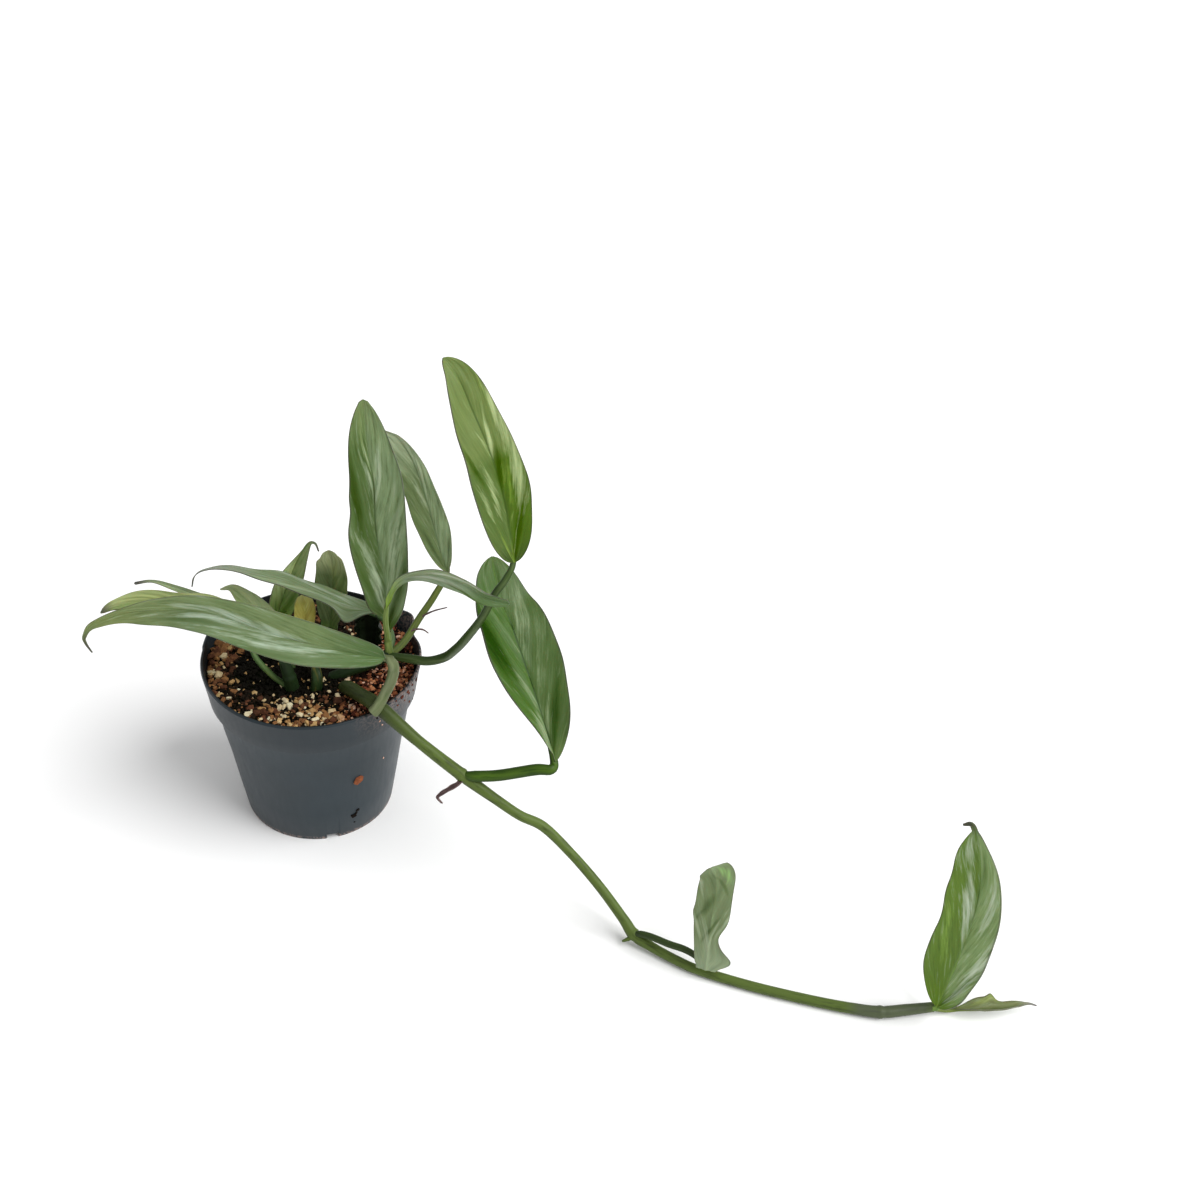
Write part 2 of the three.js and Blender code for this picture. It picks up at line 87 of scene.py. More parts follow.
# Stems: points along the middle and the radius at each of them, in millimetres, as in the CAD solids.
# rings: the points that are nodes of the stem, where old leaf scars stand out.
STEMS = {
    "vine": {
        "path": [
            (20, -18, 84), (22, -20, 97), (33, -34, 105), (44.5, -44.5, 107), (67, -54.5, 93.5),
            (90.5, -62, 79), (109, -67, 68), (122, -69.5, 60), (135, -69, 52), (151, -75, 39),
            (167, -84, 25.5), (181, -93.5, 12), (187.5, -99.5, 6.4), (197, -105, 4.4), (210, -112, 3.6),
            (224, -118, 3.2), (251, -125.5, 3.1), (280, -131.5, 3.1), (301, -135, 3.4), (317, -136.5, 3.8),
            (331, -134, 4), (345, -131.5, 4.8),
        ],
        "radii": [
            4, 4, 3.9, 4.1, 3.1, 3.5, 2.8, 2.7, 2.8, 2.6, 2.7, 2.8, 3.3, 2.7, 2.6, 2.6, 2.65, 2.75, 2.9,
            3.2, 3, 2.6,
        ],
        "rings": [3, 5, 12, 19],
    },
    "stem_back": {
        "path": [(9, -9, 84), (11, -10, 93), (23, -10, 101), (35, -8, 106), (44, -5, 110.5)],
        "radii": [3.4, 3.4, 3.2, 3.2, 3.4],
        "rings": [3],
    },
    "stem_centre": {
        "path": [(-4, -22, 84), (-6, -22, 93), (-7.5, -22.5, 104), (-10, -21, 114)],
        "radii": [4.2, 4.2, 3.6, 3],
        "rings": [2],
    },
}
ROOT_STUB = {"path": [(187, -100, 6), (184.5, -101.5, 5), (181.5, -102, 3.4)], "radii": [1.6, 1.2, 0.6]}
STEM_FACE = (0.1, 1, 0.3)

# An old leaf scar, in millimetres: a ridge and the groove after it, each as (height, spread, place).
SCAR = [(0.35, 0.9, 0), (-0.2, 0.8, 2.2)]

# Dried sheaths: strips that curl round a path, with their radius along it, in millimetres. span: the angle
# that a strip curls through, in radians. twist: how far the curl turns from end to end.
DRY_SCALE = {
    "path": [
        (91, -62, 78.6), (88.6, -66.2, 77), (84, -66.6, 73), (80, -66.4, 69), (77.6, -66, 65), (80, -66, 61),
    ],
    "radii": [1.1, 1.2, 1.2, 1, 0.8, 0.5], "twist": 1.2,
}
WISPS = {
    "dry_wisp": [(58, 15.5, 121), (60, 16, 122), (66, 16, 126), (73, 16, 129)],
    "dry_wisp_low": [(53, 8, 116), (56, 9, 117.4), (60, 10, 117), (63, 11, 114)],
}
WISP_RADII = (0.7, 0.6, 0.45, 0.3)
# A dark cupped sheet in the plant's middle, coloured near black as painted shade where the leaves darken it.
SHADE_SHEATH = {
    "path": [(29, 13, 95), (29.5, 12, 105), (30, 10, 116), (30, 8, 126)],
    "radii": [5, 6.6, 7, 5.5], "span": 3.4, "thickness": 0.4, "face": (1, 0, 0),
}

# Leaves, along the midribs of the CAD solids. rib: points along the midrib, base first. face: where the
# upper side looks, at base and tip. half: half the widest width, at the share "peak" of the length.
# full: how full the outline is. fold: how far the halves fold up, in radians. tail: share that is a thin
# drip tip. blunt: half the width of a rounded tip. stalk and radii: the petiole up to the blade. under: how
# thick the midrib is under the blade, as shares of the petiole. bumps: (share of length, spread, side, wider
# by, lifted by) in millimetres, for lobes, notches and waves. LEAF has what most leaves share.
LEAF = {"tail": 0, "blunt": 0.7, "bumps": [], "under": (0.8, 0.42, 0.3, 0.22, 0.14)}
LEAVES = {
    "leaf_long": {
        "rib": [
            (48, -42, 139), (27, -42, 141), (-7, -38, 145), (-49, -30, 151), (-88, -24, 142),
            (-109, -22, 131), (-116, -21, 121), (-116, -21, 116), (-114, -20, 109),
        ],
        "face": [(0, -0.8, 0.7), (-0.1, -1, 0)], "half": 12.5, "peak": 0.31, "full": 1.34,
        "fold": (0.55, 0.44), "tail": 0.07,
        "bumps": [(0.34, 0.16, 1, 3.2, 0), (0.79, 0.08, 1, -1.8, 0), (0.07, 0.09, -1, -1.8, 0)],
        "stalk": [
            (42, -48.9, 107.2), (44.2, -48, 110.2), (47.5, -44.6, 116.5), (50.9, -43.7, 124.9),
            (52.3, -42.8, 131.5), (52.2, -43.2, 136), (50.6, -42.8, 138.5),
        ],
        "radii": [3.2, 3, 2.8, 2.9, 3, 2.9, 2.4],
    },
    "leaf_olive": {
        "rib": [
            (-29, -16, 120), (-37, -16, 134), (-51, -16, 143), (-69, -17, 145), (-84, -18, 145),
            (-98, -19, 141), (-106, -19, 136),
        ],
        "face": [(0.7, -0.6, 0.4), (-0.3, -0.6, 0.8)], "half": 8, "peak": 0.36, "full": 1,
        "fold": (0.43, 0.47),
        "bumps": [(0.5, 0.14, 1, -2.2, 0), (0.86, 0.1, -1, -1.5, 0)],
        "stalk": [(-6, -22, 95), (-12, -21, 98), (-18, -21, 104), (-25, -20, 113)],
        "radii": [1.6, 1.7, 1.7, 1.6],
    },
    "leaf_thin": {
        "rib": [
            (-19, -6, 121), (-33, -5, 132.5), (-52, -3, 137.6), (-70, -1, 142), (-82, -1, 145.6),
            (-92, -2, 144),
        ],
        "face": [(0.5, -0.6, 0.6), (0, -0.6, 0.8)], "half": 3.2, "peak": 0.3, "full": 1.67,
        "fold": (0.35, 0.21),
        "bumps": [(0.5, 0.2, 1, -1, 0)],
        "stalk": [(-9.5, -21, 112), (-12, -15, 115)],
        "radii": [1.5, 1.6],
    },
    "leaf_arching": {
        "rib": [
            (36, 10, 126), (18, 9, 132), (-5, 8, 143), (-29, 7, 150), (-45, 6, 153), (-56, 5, 151),
            (-61, 4, 147), (-63, 4, 140),
        ],
        "face": [(0.3, 0.2, 0.9), (-0.4, 0.2, 0.9)], "half": 12.5, "peak": 0.2, "full": 1.2, "fold": (0, 0),
        "tail": 0.14,
        "bumps": [
            (0.03, 0.075, -1, -8.4, 0), (0.15, 0.052, -1, 2.8, -4), (0.04, 0.09, 1, -3.5, 0),
            (0.3, 0.11, -1, -3.6, 0), (0.36, 0.1, 1, -2.4, 0), (0.9, 0.1, 1, -0.4, 0),
        ],
        "stalk": [(43, -4, 110), (44, 4, 113), (41, 9, 119)],
        "radii": [1.7, 1.9, 1.9],
    },
    "leaf_low": {
        "rib": [(-15, 3, 108), (-24, 5, 120), (-35, 8, 130), (-43, 10, 136), (-50, 11, 134)],
        "face": [(0.5, -0.7, 0.5), (-0.2, -0.6, 0.8)], "half": 6.4, "peak": 0.45, "full": 1.63,
        "fold": (0.35, 0.22), "tail": 0.08,
        "stalk": [(-9, -5, 84), (-10, -4, 93), (-12, -1, 101)],
        "radii": [1.9, 1.9, 1.7],
    },
    "leaf_folded": {
        "rib": [
            (-25, 21, 102), (-21, 22, 116), (-14, 25, 137), (-9, 27, 149), (-4, 28, 157), (0, 27, 158),
            (2, 25, 154),
        ],
        "face": [(0.2, -1, 0), (-0.1, -1, 0.1)], "half": 9.5, "peak": 0.4, "full": 1.35,
        "fold": (0.76, 0.5), "tail": 0.1,
        "bumps": [(0.72, 0.2, -1, -4.6, 0), (0.3, 0.1, -1, -0.8, 0)],
        "stalk": [(-27, 19, 84), (-27, 20, 93)],
        "radii": [2, 2],
    },
    "leaf_round": {
        "rib": [(5, 27, 100), (6, 29, 111), (7, 32, 126), (7, 34, 139), (5, 36, 147)],
        "face": [(-0.1, -1, 0.2), (-0.2, -1, 0.2)], "half": 9.5, "peak": 0.56, "full": 0.9,
        "fold": (0.28, 0.21), "blunt": 5,
        "bumps": [(0.88, 0.1, -1, 1.5, 0)],
        "stalk": [(5, 25, 84), (5, 26, 92)],
        "radii": [2.2, 2.2],
    },
    "leaf_bud": {
        "rib": [(-3, 4, 108), (-4, 7, 119), (-4, 9, 127), (-4, 10, 136)],
        "face": [(0.2, -0.9, 0.3), (0.2, -1, 0.1)], "half": 5.8, "peak": 0.6, "full": 1,
        "fold": (0.35, 0.2), "blunt": 2,
        "stalk": [(6, -21, 84), (6, -21, 93), (7, -20.5, 104), (3, -10, 108)],
        "radii": [3.4, 3.4, 3, 2],
    },
    "leaf_tall": {
        "rib": [
            (43, -3, 125), (42, -2, 147), (41.5, -1.5, 162), (38, 0, 189), (37, 4, 214), (34, 8, 232),
            (31, 16, 257),
        ],
        "face": [(0.3, -0.9, 0), (0.3, -0.9, 0.3)], "half": 16.5, "peak": 0.47, "full": 1.17,
        "fold": (0.66, 0.2), "blunt": 3,
        "bumps": [
            (0.575, 0.05, -1, -1.6, -1), (0.05, 0.07, -1, -7, 0), (0.04, 0.06, 1, -1.5, 0),
            (0.78, 0.14, 1, 0.4, 0), (0.74, 0.12, -1, -1.6, 0), (0.28, 0.13, 1, -1.3, 0),
        ],
        "stalk": [(44, -5, 111), (43.5, -5, 117), (43.2, -4, 122)],
        "radii": [2.3, 2.2, 2],
    },
    "leaf_back": {
        "rib": [(71, 30, 143), (68, 31, 153), (61, 33, 182), (54, 34, 207), (45, 36, 223), (37, 38, 226)],
        "face": [(-0.1, -1, 0.1), (-0.1, -1, 0.1)], "half": 10.9, "peak": 0.42, "full": 1.6,
        "fold": (0.3, 0.2), "blunt": 1.6,
        "bumps": [
            (0.84, 0.16, -1, 6, 0), (0.62, 0.3, 1, -2.7, 0), (0.97, 0.1, 1, -1.2, 0),
            (0.25, 0.2, -1, -1.5, 0),
        ],
        "stalk": [(44.5, -4.5, 110), (51, 4, 113), (58, 16, 121), (65, 25, 130)],
        "radii": [2, 2.1, 2, 1.9],
    },
    "leaf_bow": {
        "rib": [
            (44, -11, 147), (48, -16, 162), (54, -21, 174), (64, -26, 182), (75, -31, 186), (88, -35, 185),
            (99, -38, 180), (111, -40, 179),
        ],
        "face": [(-0.1, -1, -0.3), (-0.1, -1, 0.3)], "half": 4.8, "peak": 0.66, "full": 1.6,
        "fold": (0.25, 0.42), "blunt": 2,
        "bumps": [
            (0.25, 0.15, -1, -0.8, 0), (0.25, 0.15, 1, -0.8, 0), (0.42, 0.12, 1, -1.2, 0),
            (0.76, 0.1, -1, -1.1, 0), (0, 0.07, -1, -1.6, 0), (0, 0.07, 1, -1.6, 0),
        ],
        "stalk": [(43.6, -6, 121), (43.4, -8.6, 130), (43.2, -9.6, 138)],
        "radii": [1.4, 1.6, 1.6],
    },
    "leaf_splashed": {
        "rib": [
            (112, -28, 196), (109, -26, 214), (104, -22, 236), (97, -18, 256), (88, -13, 275),
            (81, -9, 289), (74, -7, 297),
        ],
        "face": [(0.4, -0.9, 0.2), (0.6, -0.7, 0.5)], "half": 15.3, "peak": 0.46, "full": 1.12,
        "fold": (0.08, 0.24),
        "bumps": [(0.58, 0.22, 1, -2.1, 0)],
        "stalk": [
            (44.5, -6, 110), (56, -10, 112.5), (66, -12, 113.6), (75, -13, 118), (81.5, -19, 129),
            (87.5, -25.5, 142), (96.5, -32, 162), (103, -33, 179), (108, -31, 187),
        ],
        "radii": [2.2, 2.6, 2.6, 2.7, 2.6, 2.5, 2.2, 2, 1.9],
    },
    "leaf_front": {
        "rib": [
            (139, -62, 94), (132, -54, 113), (123, -40, 130), (111, -18, 147), (104, -6, 156), (98, 8, 172),
        ],
        "face": [(0.4, -0.8, 0.5), (0.5, -0.6, 0.7)], "half": 20, "peak": 0.53, "full": 1.33,
        "fold": (0.5, 0),
        "bumps": [(0.15, 0.18, -1, -6.9, 0), (0.93, 0.07, -1, 1.4, 0)],
        "stalk": [(90.5, -62, 79), (97, -64, 81), (110, -64, 83), (129, -65, 90), (137, -65, 91)],
        "radii": [2.2, 3, 3.1, 3.1, 2.8],
    },
    "leaf_cupped": {
        "rib": [
            (225.4, -121.6, 8.8), (225.6, -117.8, 21), (226, -111.5, 46), (226, -108, 62), (222, -108, 72),
        ],
        "face": [(0.3, 1, -0.1), (-0.2, 1, -0.1)], "half": 9.4, "peak": 0.62, "full": 0.6,
        "fold": (0.1, 0.25), "blunt": 4, "under": (),
        "bumps": [
            (0.1, 0.08, -1, 7, -1.5), (0.04, 0.1, 1, 1.2, 0), (0.3, 0.1, -1, -3.4, 0),
            (0.88, 0.12, -1, 2, 0), (0.52, 0.06, 1, 0.8, 0),
        ],
        "stalk": [
            (187.5, -99.5, 6.6), (191, -101.5, 9.6), (197, -104.5, 11.4), (206, -108.5, 11.6),
            (214, -110.8, 11.2), (220, -114.5, 11.2), (224.5, -118.8, 10.5),
        ],
        "radii": [1.8, 2, 2, 2, 2, 1.9, 1.4],
    },
    "leaf_upright": {
        "rib": [
            (346, -134, 8.4), (351, -128, 29), (355, -122, 56), (357, -114, 77), (354, -106, 97),
            (349, -102, 110), (344, -101, 109),
        ],
        "face": [(-0.7, -0.6, 0.3), (-0.6, -0.8, 0)], "half": 17.5, "peak": 0.47, "full": 1.2,
        "fold": (0.28, 0.31), "tail": 0.08,
        "bumps": [
            (0.8, 0.1, -1, 1.5, 0), (0.44, 0.11, -1, -1.8, 0), (0.15, 0.1, -1, 1.7, 0),
            (0.95, 0.04, -1, 0.9, 0), (0.1, 0.08, 1, 1.3, 0), (0.8, 0.1, 1, -1.1, 0),
            (0.95, 0.04, 1, 0.6, 0),
        ],
        "stalk": [(343, -132, 5)],
        "radii": [1.8],
    },
    "leaf_end": {
        "rib": [
            (352, -131.5, 4.4), (365, -131, 4.6), (381, -130, 5.4), (394, -126.5, 6.2), (400, -126, 5.2),
        ],
        "face": [(0, -0.2, 1), (-0.1, 0.1, 1)], "half": 4.6, "peak": 0.4, "full": 1, "fold": (1, 0.7),
        "tail": 0.13,
        "bumps": [
            (0.08, 0.12, 1, -3, 0), (0.08, 0.12, -1, -3, 0), (0.48, 0.05, -1, 2.4, 0),
            (0.4, 0.13, -1, 1.6, 0),
        ],
        "stalk": [(344.5, -131.6, 4.8)],
        "radii": [2],
    },
}

# How each leaf is coloured, as sRGB hex. halves: the half on the minus and on the plus side of the midrib;
# where the two differ much, that is partly the leaf's own colour and partly painted light and shade of how
# each folded half faces the light. dark and light: the colours of streaks and patches. silver_and_sheen: the
# colour of silvery streaks and patches, partly the leaf's own silver and partly painted sheen. tip: the
# colour there, and the shares of the length where it starts and is full. foot: the colour there, and the
# share where it ends. stalk: the petiole's skin and the pale stripe painted along it as its highlight.
# groove_shade: how dark the painted shade in the midrib's groove is, and the shares of the length between
# which it shows. edge: how dark the edge is. rib: how pale the midrib is, and the share where that ends.
# hair: how strong the hair-fine streaks are. worn: how dark the dried tip is. pale: how far the lower side
# leans to its pale colour. patches: (kind, share of length, spread, share of half width, spread, amount),
# drawn out along the veins, or along the lean that a seventh value gives. LOOK has what most share.
LOOK = {"groove_shade": (0.2, 0, 0.95), "edge": 0.6, "rib": (0, 0.1), "hair": 1, "worn": 0}
LOOKS = {
    "leaf_long": {
        "halves": ("#6c7e59", "#768959"), "dark": "#465c31", "light": "#8a9a5c", "silver_and_sheen": "#b0c0aa",
        "tip": ("#7c8952", 0.55, 0.8), "foot": ("#546d3f", 0.2), "stalk": ("#5a6242", "#7f8964"),
        "groove_shade": (0, 0, 0.95), "edge": 0.45, "rib": (0.1, 0.2), "worn": 0.85,
        "patches": [
            ("silver_and_sheen", 0.42, 0.13, 0.2, 0.35, 1), ("silver_and_sheen", 0.28, 0.12, -0.4, 0.35, 0.7),
            ("silver_and_sheen", 0.48, 0.09, -0.16, 0.22, 1), ("dark", 0.55, 0.1, -0.5, 0.2, 0.8),
            ("light", 0.72, 0.2, 0, 0.8, 0.5), ("dark", 0.3, 0.14, -0.85, 0.25, 0.6),
            ("dark", 0.1, 0.1, 0.7, 0.4, 0.5),
        ],
    },
    "leaf_olive": {
        "halves": ("#7c8f56", "#a2ae76"), "dark": "#6d7c40", "light": "#a8b270", "silver_and_sheen": "#b0b98e",
        "tip": ("#8a8f64", 0.85, 1), "foot": ("#7f9070", 0.3), "stalk": ("#3f5a2e", "#6d8650"),
        "groove_shade": (0.1, 0, 0.95), "edge": 0.35, "worn": 0.7,
        "patches": [("light", 0.7, 0.2, 0.4, 0.5, 0.7)],
    },
    "leaf_thin": {
        "halves": ("#7d8c62", "#74825f"), "dark": "#515f41", "light": "#8d9b74", "silver_and_sheen": "#9aa48c",
        "tip": ("#74766a", 0.8, 1), "foot": ("#7a8c62", 0.3), "stalk": ("#34482a", "#5d7441"), "edge": 0.4,
        "worn": 0.8,
        "patches": [("silver_and_sheen", 0.55, 0.2, 0, 0.6, 0.5)],
    },
    "leaf_arching": {
        "halves": ("#6f7f5c", "#6c7d59"), "dark": "#46582f", "light": "#83946c", "silver_and_sheen": "#96a38d",
        "tip": ("#8b8e84", 0.6, 0.85), "foot": ("#536344", 0.2), "stalk": ("#3c5430", "#6d8a58"),
        "groove_shade": (0.15, 0, 0.95), "rib": (0.1, 0.3), "worn": 0.7,
        "patches": [
            ("silver_and_sheen", 0.35, 0.08, 0.6, 0.5, 1), ("silver_and_sheen", 0.26, 0.1, -0.3, 0.4, 0.6),
            ("dark", 0.12, 0.06, -0.3, 0.8, 0.6), ("dark", 0.68, 0.05, 0.8, 0.3, 0.8),
            ("light", 0.5, 0.15, -0.5, 0.6, 0.7), ("silver_and_sheen", 0.8, 0.08, 0, 0.8, 0.8),
        ],
    },
    "leaf_low": {
        "halves": ("#82945f", "#94a375"), "dark": "#627443", "light": "#a5b17c", "silver_and_sheen": "#a9b393",
        "tip": ("#9aa080", 0.75, 1), "foot": ("#7c8f6a", 0.3), "stalk": ("#34482a", "#5d7441"), "edge": 0.4,
        "patches": [("light", 0.7, 0.2, 0.3, 0.5, 0.6)],
    },
    "leaf_folded": {
        "halves": ("#b3c68a", "#83965f"), "dark": "#4f7026", "light": "#c9da92", "silver_and_sheen": "#aab58f",
        "tip": ("#8b8d7b", 0.85, 1), "foot": ("#8db648", 0.42), "stalk": ("#34482a", "#5d7441"),
        "groove_shade": (0.5, 0, 0.95), "worn": 0.8,
        "patches": [("light", 0.62, 0.14, -0.2, 0.2, 1), ("dark", 0.25, 0.12, 0.5, 0.5, 0.8)],
    },
    # The stalks of this leaf and of leaf_bud rise from the shaded middle and are painted near black as shade.
    "leaf_round": {
        "halves": ("#64764a", "#6f824a"), "dark": "#46582b", "light": "#98a668", "silver_and_sheen": "#a5ae84",
        "tip": ("#c3cc9c", 0.68, 0.93), "foot": ("#6b8845", 0.12), "stalk": ("#1d2e15", "#3a5028"),
        "groove_shade": (0.1, 0, 0.95), "edge": 0.5,
        "patches": [("dark", 0.52, 0.08, 0.5, 0.4, 0.6), ("light", 0.78, 0.12, 0.2, 0.6, 0.8)],
    },
    "leaf_bud": {
        "halves": ("#b0aa54", "#a19846"), "dark": "#7d6a2a", "light": "#c4c36c", "silver_and_sheen": "#b6b57c",
        "tip": ("#c4c67e", 0.8, 1), "foot": ("#7f9055", 0.5), "stalk": ("#1d2e15", "#3a5028"),
        "groove_shade": (0, 0, 0.95), "edge": 0.3,
        "patches": [("light", 0.78, 0.14, 0.2, 0.4, 0.9)],
    },
    "leaf_tall": {
        "halves": ("#4c6232", "#788d63"), "dark": "#2b4006", "light": "#7c8f58", "silver_and_sheen": "#a6b596",
        "tip": ("#6f8052", 0.8, 1), "foot": ("#4f6c24", 0.14), "stalk": ("#5d7034", "#8ea05a"),
        "groove_shade": (0.75, 0.4, 0.78), "rib": (0.3, 0.2),
        "patches": [
            ("silver_and_sheen", 0.36, 0.14, 0.5, 0.4, 0.7), ("silver_and_sheen", 0.72, 0.06, 0.25, 0.25, 1),
            ("dark", 0.12, 0.1, 0.5, 0.7, 0.9), ("dark", 0.58, 0.08, 0.75, 0.3, 0.4),
            ("silver_and_sheen", 0.24, 0.14, -0.3, 0.35, 1), ("silver_and_sheen", 0.7, 0.07, -0.16, 0.16, 0.9),
            ("dark", 0.3, 0.1, -0.8, 0.3, 0.6), ("dark", 0.64, 0.12, -0.75, 0.4, 1),
            ("light", 0.86, 0.08, -0.3, 0.4, 0.6), ("silver_and_sheen", 0.47, 0.1, 0.7, 0.3, 0.6),
            ("dark", 0.5, 0.09, -0.35, 0.25, 0.5),
        ],
    },
    "leaf_back": {
        "halves": ("#738657", "#98ad82"), "dark": "#46572f", "light": "#8d9f6c", "silver_and_sheen": "#bac7a6",
        "tip": ("#a6b392", 0.6, 0.9), "foot": ("#6f8252", 0.1), "stalk": ("#4d5c28", "#7a8440"),
        "groove_shade": (0.3, 0, 0.95), "rib": (0.2, 0.15),
        "patches": [
            ("silver_and_sheen", 0.8, 0.15, 0.5, 0.5, 0.8), ("dark", 0.2, 0.1, 0.8, 0.3, 0.6),
            ("dark", 0.22, 0.14, -0.6, 0.6, 0.7), ("silver_and_sheen", 0.5, 0.1, 0.2, 0.25, 0.6),
            ("silver_and_sheen", 0.55, 0.07, -0.25, 0.3, 0.7), ("dark", 0.68, 0.1, -0.8, 0.3, 0.6),
        ],
    },
    "leaf_bow": {
        "halves": ("#84946f", "#7f9072"), "dark": "#3d5020", "light": "#9aae74", "silver_and_sheen": "#b0b9a4",
        "tip": ("#526c3c", 0.72, 0.85), "foot": ("#8cae3a", 0.36), "stalk": ("#6d8040", "#94a862"),
        "groove_shade": (0.1, 0, 0.95), "rib": (0.1, 0.5),
        "patches": [
            ("silver_and_sheen", 0.68, 0.1, -0.6, 0.6, 1), ("dark", 0.72, 0.08, 0.7, 0.5, 1),
            ("silver_and_sheen", 0.53, 0.08, 0.3, 0.4, 1), ("dark", 0.03, 0.07, 0.9, 0.4, 1),
            ("dark", 0.52, 0.05, -0.4, 0.3, 0.4),
        ],
    },
    "leaf_splashed": {
        "halves": ("#4c6129", "#3f5a04"), "dark": "#2a4200", "light": "#7f9b38", "silver_and_sheen": "#a5b480",
        "tip": ("#62733c", 0.49, 0.56), "foot": ("#33480a", 0.1), "stalk": ("#324420", "#56663a"),
        "groove_shade": (0.6, 0.1, 0.95), "edge": 0.7, "rib": (0.3, 0.12), "hair": 0.4,
        "patches": [
            ("light", 0.37, 0.12, 0.3, 0.25, 0.5), ("dark", 0.16, 0.1, 0.4, 0.5, 0.9),
            ("silver_and_sheen", 0.5, 0.14, 0.85, 0.4, 1), ("silver_and_sheen", 0.6, 0.06, -0.15, 0.2, 0.6),
            ("silver_and_sheen", 0.62, 0.06, 0.2, 0.25, 0.8), ("silver_and_sheen", 0.33, 0.12, -0.32, 0.14, 0.8),
            ("silver_and_sheen", 0.32, 0.12, -0.65, 0.12, 0.7), ("dark", 0.53, 0.05, -0.8, 0.4, 1),
            ("dark", 0.46, 0.07, 0.15, 0.25, 1), ("light", 0.03, 0.05, -0.2, 0.4, 0.6),
            ("light", 0.82, 0.12, 0.8, 0.4, 0.4), ("dark", 0.14, 0.08, -0.3, 0.3, 0.4),
            ("silver_and_sheen", 0.7, 0.12, 0.85, 0.3, 0.9),
        ],
    },
    "leaf_front": {
        "halves": ("#3b5919", "#455b2c"), "dark": "#173400", "light": "#5f7a3a", "silver_and_sheen": "#8c9b78",
        "tip": ("#435a24", 0.85, 1), "foot": ("#5a6f3a", 0.12), "stalk": ("#2c430c", "#4a6716"),
        "groove_shade": (0.75, 0.05, 0.75), "edge": 0.7, "rib": (0.4, 0.08), "hair": 0.6,
        "patches": [
            ("silver_and_sheen", 0.12, 0.12, -0.5, 0.6, 1, 0.08), ("silver_and_sheen", 0.66, 0.15, 0.35, 0.4, 0.5),
            ("dark", 0.6, 0.15, -0.8, 0.4, 1.1), ("dark", 0.17, 0.1, 0.4, 0.5, 0.8),
            ("silver_and_sheen", 0.3, 0.06, -0.15, 0.25, 0.6),
        ],
    },
    # Its pale foot is partly the lower side's own pale green and partly painted light shining through the
    # lobe.
    "leaf_cupped": {
        "halves": ("#5d6a46", "#66754d"), "dark": "#3d4d25", "light": "#7da85a", "silver_and_sheen": "#9aa689",
        "tip": ("#7a8a66", 0.92, 1), "foot": ("#879575", 0.32), "stalk": ("#2c3a1a", "#4f6030"),
        "groove_shade": (0, 0, 0.95), "hair": 0.5, "pale": 0.12,
        "patches": [
            ("dark", 0.62, 0.09, 0.25, 0.4, 0.9, -0.25), ("dark", 0.38, 0.03, 0, 0.5, 1, -0.25),
            ("light", 0.9, 0.08, -0.5, 0.4, 0.7, 0.15), ("silver_and_sheen", 0.25, 0.1, 0.1, 0.7, 0.7),
            ("dark", 0.8, 0.03, -0.35, 0.4, 1, 0.25), ("silver_and_sheen", 0.42, 0.06, -0.8, 0.4, 0.8),
            ("dark", 0.55, 0.03, 0.5, 0.5, 0.9, -0.25), ("silver_and_sheen", 0.85, 0.08, 0.9, 0.2, 0.9),
            ("dark", 0.86, 0.08, 0.25, 0.3, 0.6), ("silver_and_sheen", 0.42, 0.05, 0.85, 0.3, 0.7),
        ],
    },
    "leaf_upright": {
        "halves": ("#64822f", "#86a066"), "dark": "#466022", "light": "#8dae4a", "silver_and_sheen": "#cbdac2",
        "tip": ("#5f7038", 0.88, 0.98), "foot": ("#62821c", 0.14), "stalk": ("#5f8034", "#8fae58"),
        "groove_shade": (0.6, 0.42, 0.7), "edge": 0.7, "rib": (0.3, 0.3), "worn": 0.8,
        "patches": [
            ("silver_and_sheen", 0.54, 0.13, -0.24, 0.25, 1), ("silver_and_sheen", 0.84, 0.14, -0.5, 0.6, 0.55, 0.1),
            ("silver_and_sheen", 0.3, 0.14, 0.8, 0.4, 0.8), ("dark", 0.73, 0.1, 0.25, 0.3, 0.6),
            ("silver_and_sheen", 0.6, 0.1, 0.6, 0.3, 0.7), ("light", 0.36, 0.12, -0.6, 0.3, 0.7),
            ("dark", 0.2, 0.1, -0.5, 0.35, 0.4), ("dark", 0.4, 0.05, 0.1, 0.2, 0.5),
            ("dark", 0.06, 0.06, 0.4, 0.7, 1),
        ],
    },
    "leaf_end": {
        "halves": ("#70794e", "#7a8060"), "dark": "#4c552c", "light": "#95a35c", "silver_and_sheen": "#a0a890",
        "tip": ("#8f8f88", 0.78, 0.95), "foot": ("#68752e", 0.2), "stalk": ("#6a7838", "#8a9a50"),
        "edge": 0.5, "rib": (0.1, 0.3), "worn": 0.8,
        "patches": [("light", 0.44, 0.12, -0.8, 0.4, 0.8), ("silver_and_sheen", 0.6, 0.2, 0.6, 0.5, 0.7)],
    },
}
PATCH_KINDS = ("dark", "light", "silver_and_sheen")


def linear(code):
    """The linear RGBA of an sRGB hex colour."""
    parts = [int(code[i : i + 2], 16) / 255 for i in (1, 3, 5)]
    return (*[c / 12.92 if c <= 0.04045 else ((c + 0.055) / 1.055) ** 2.4 for c in parts], 1.0)


def unit(rows):
    """The vectors in the last axis, each made 1 long."""
    return rows / np.linalg.norm(rows, axis=-1, keepdims=True)


def bell(distance, spread):
    """A soft hump: 1 at no distance and nearly 0 at twice the spread."""
    return np.exp(-((distance / spread) ** 2))


def past(value, edge, soft):
    """A soft step from 0 to 1 where the value passes the edge."""
    return 1 / (1 + math.exp((edge - value) / soft))


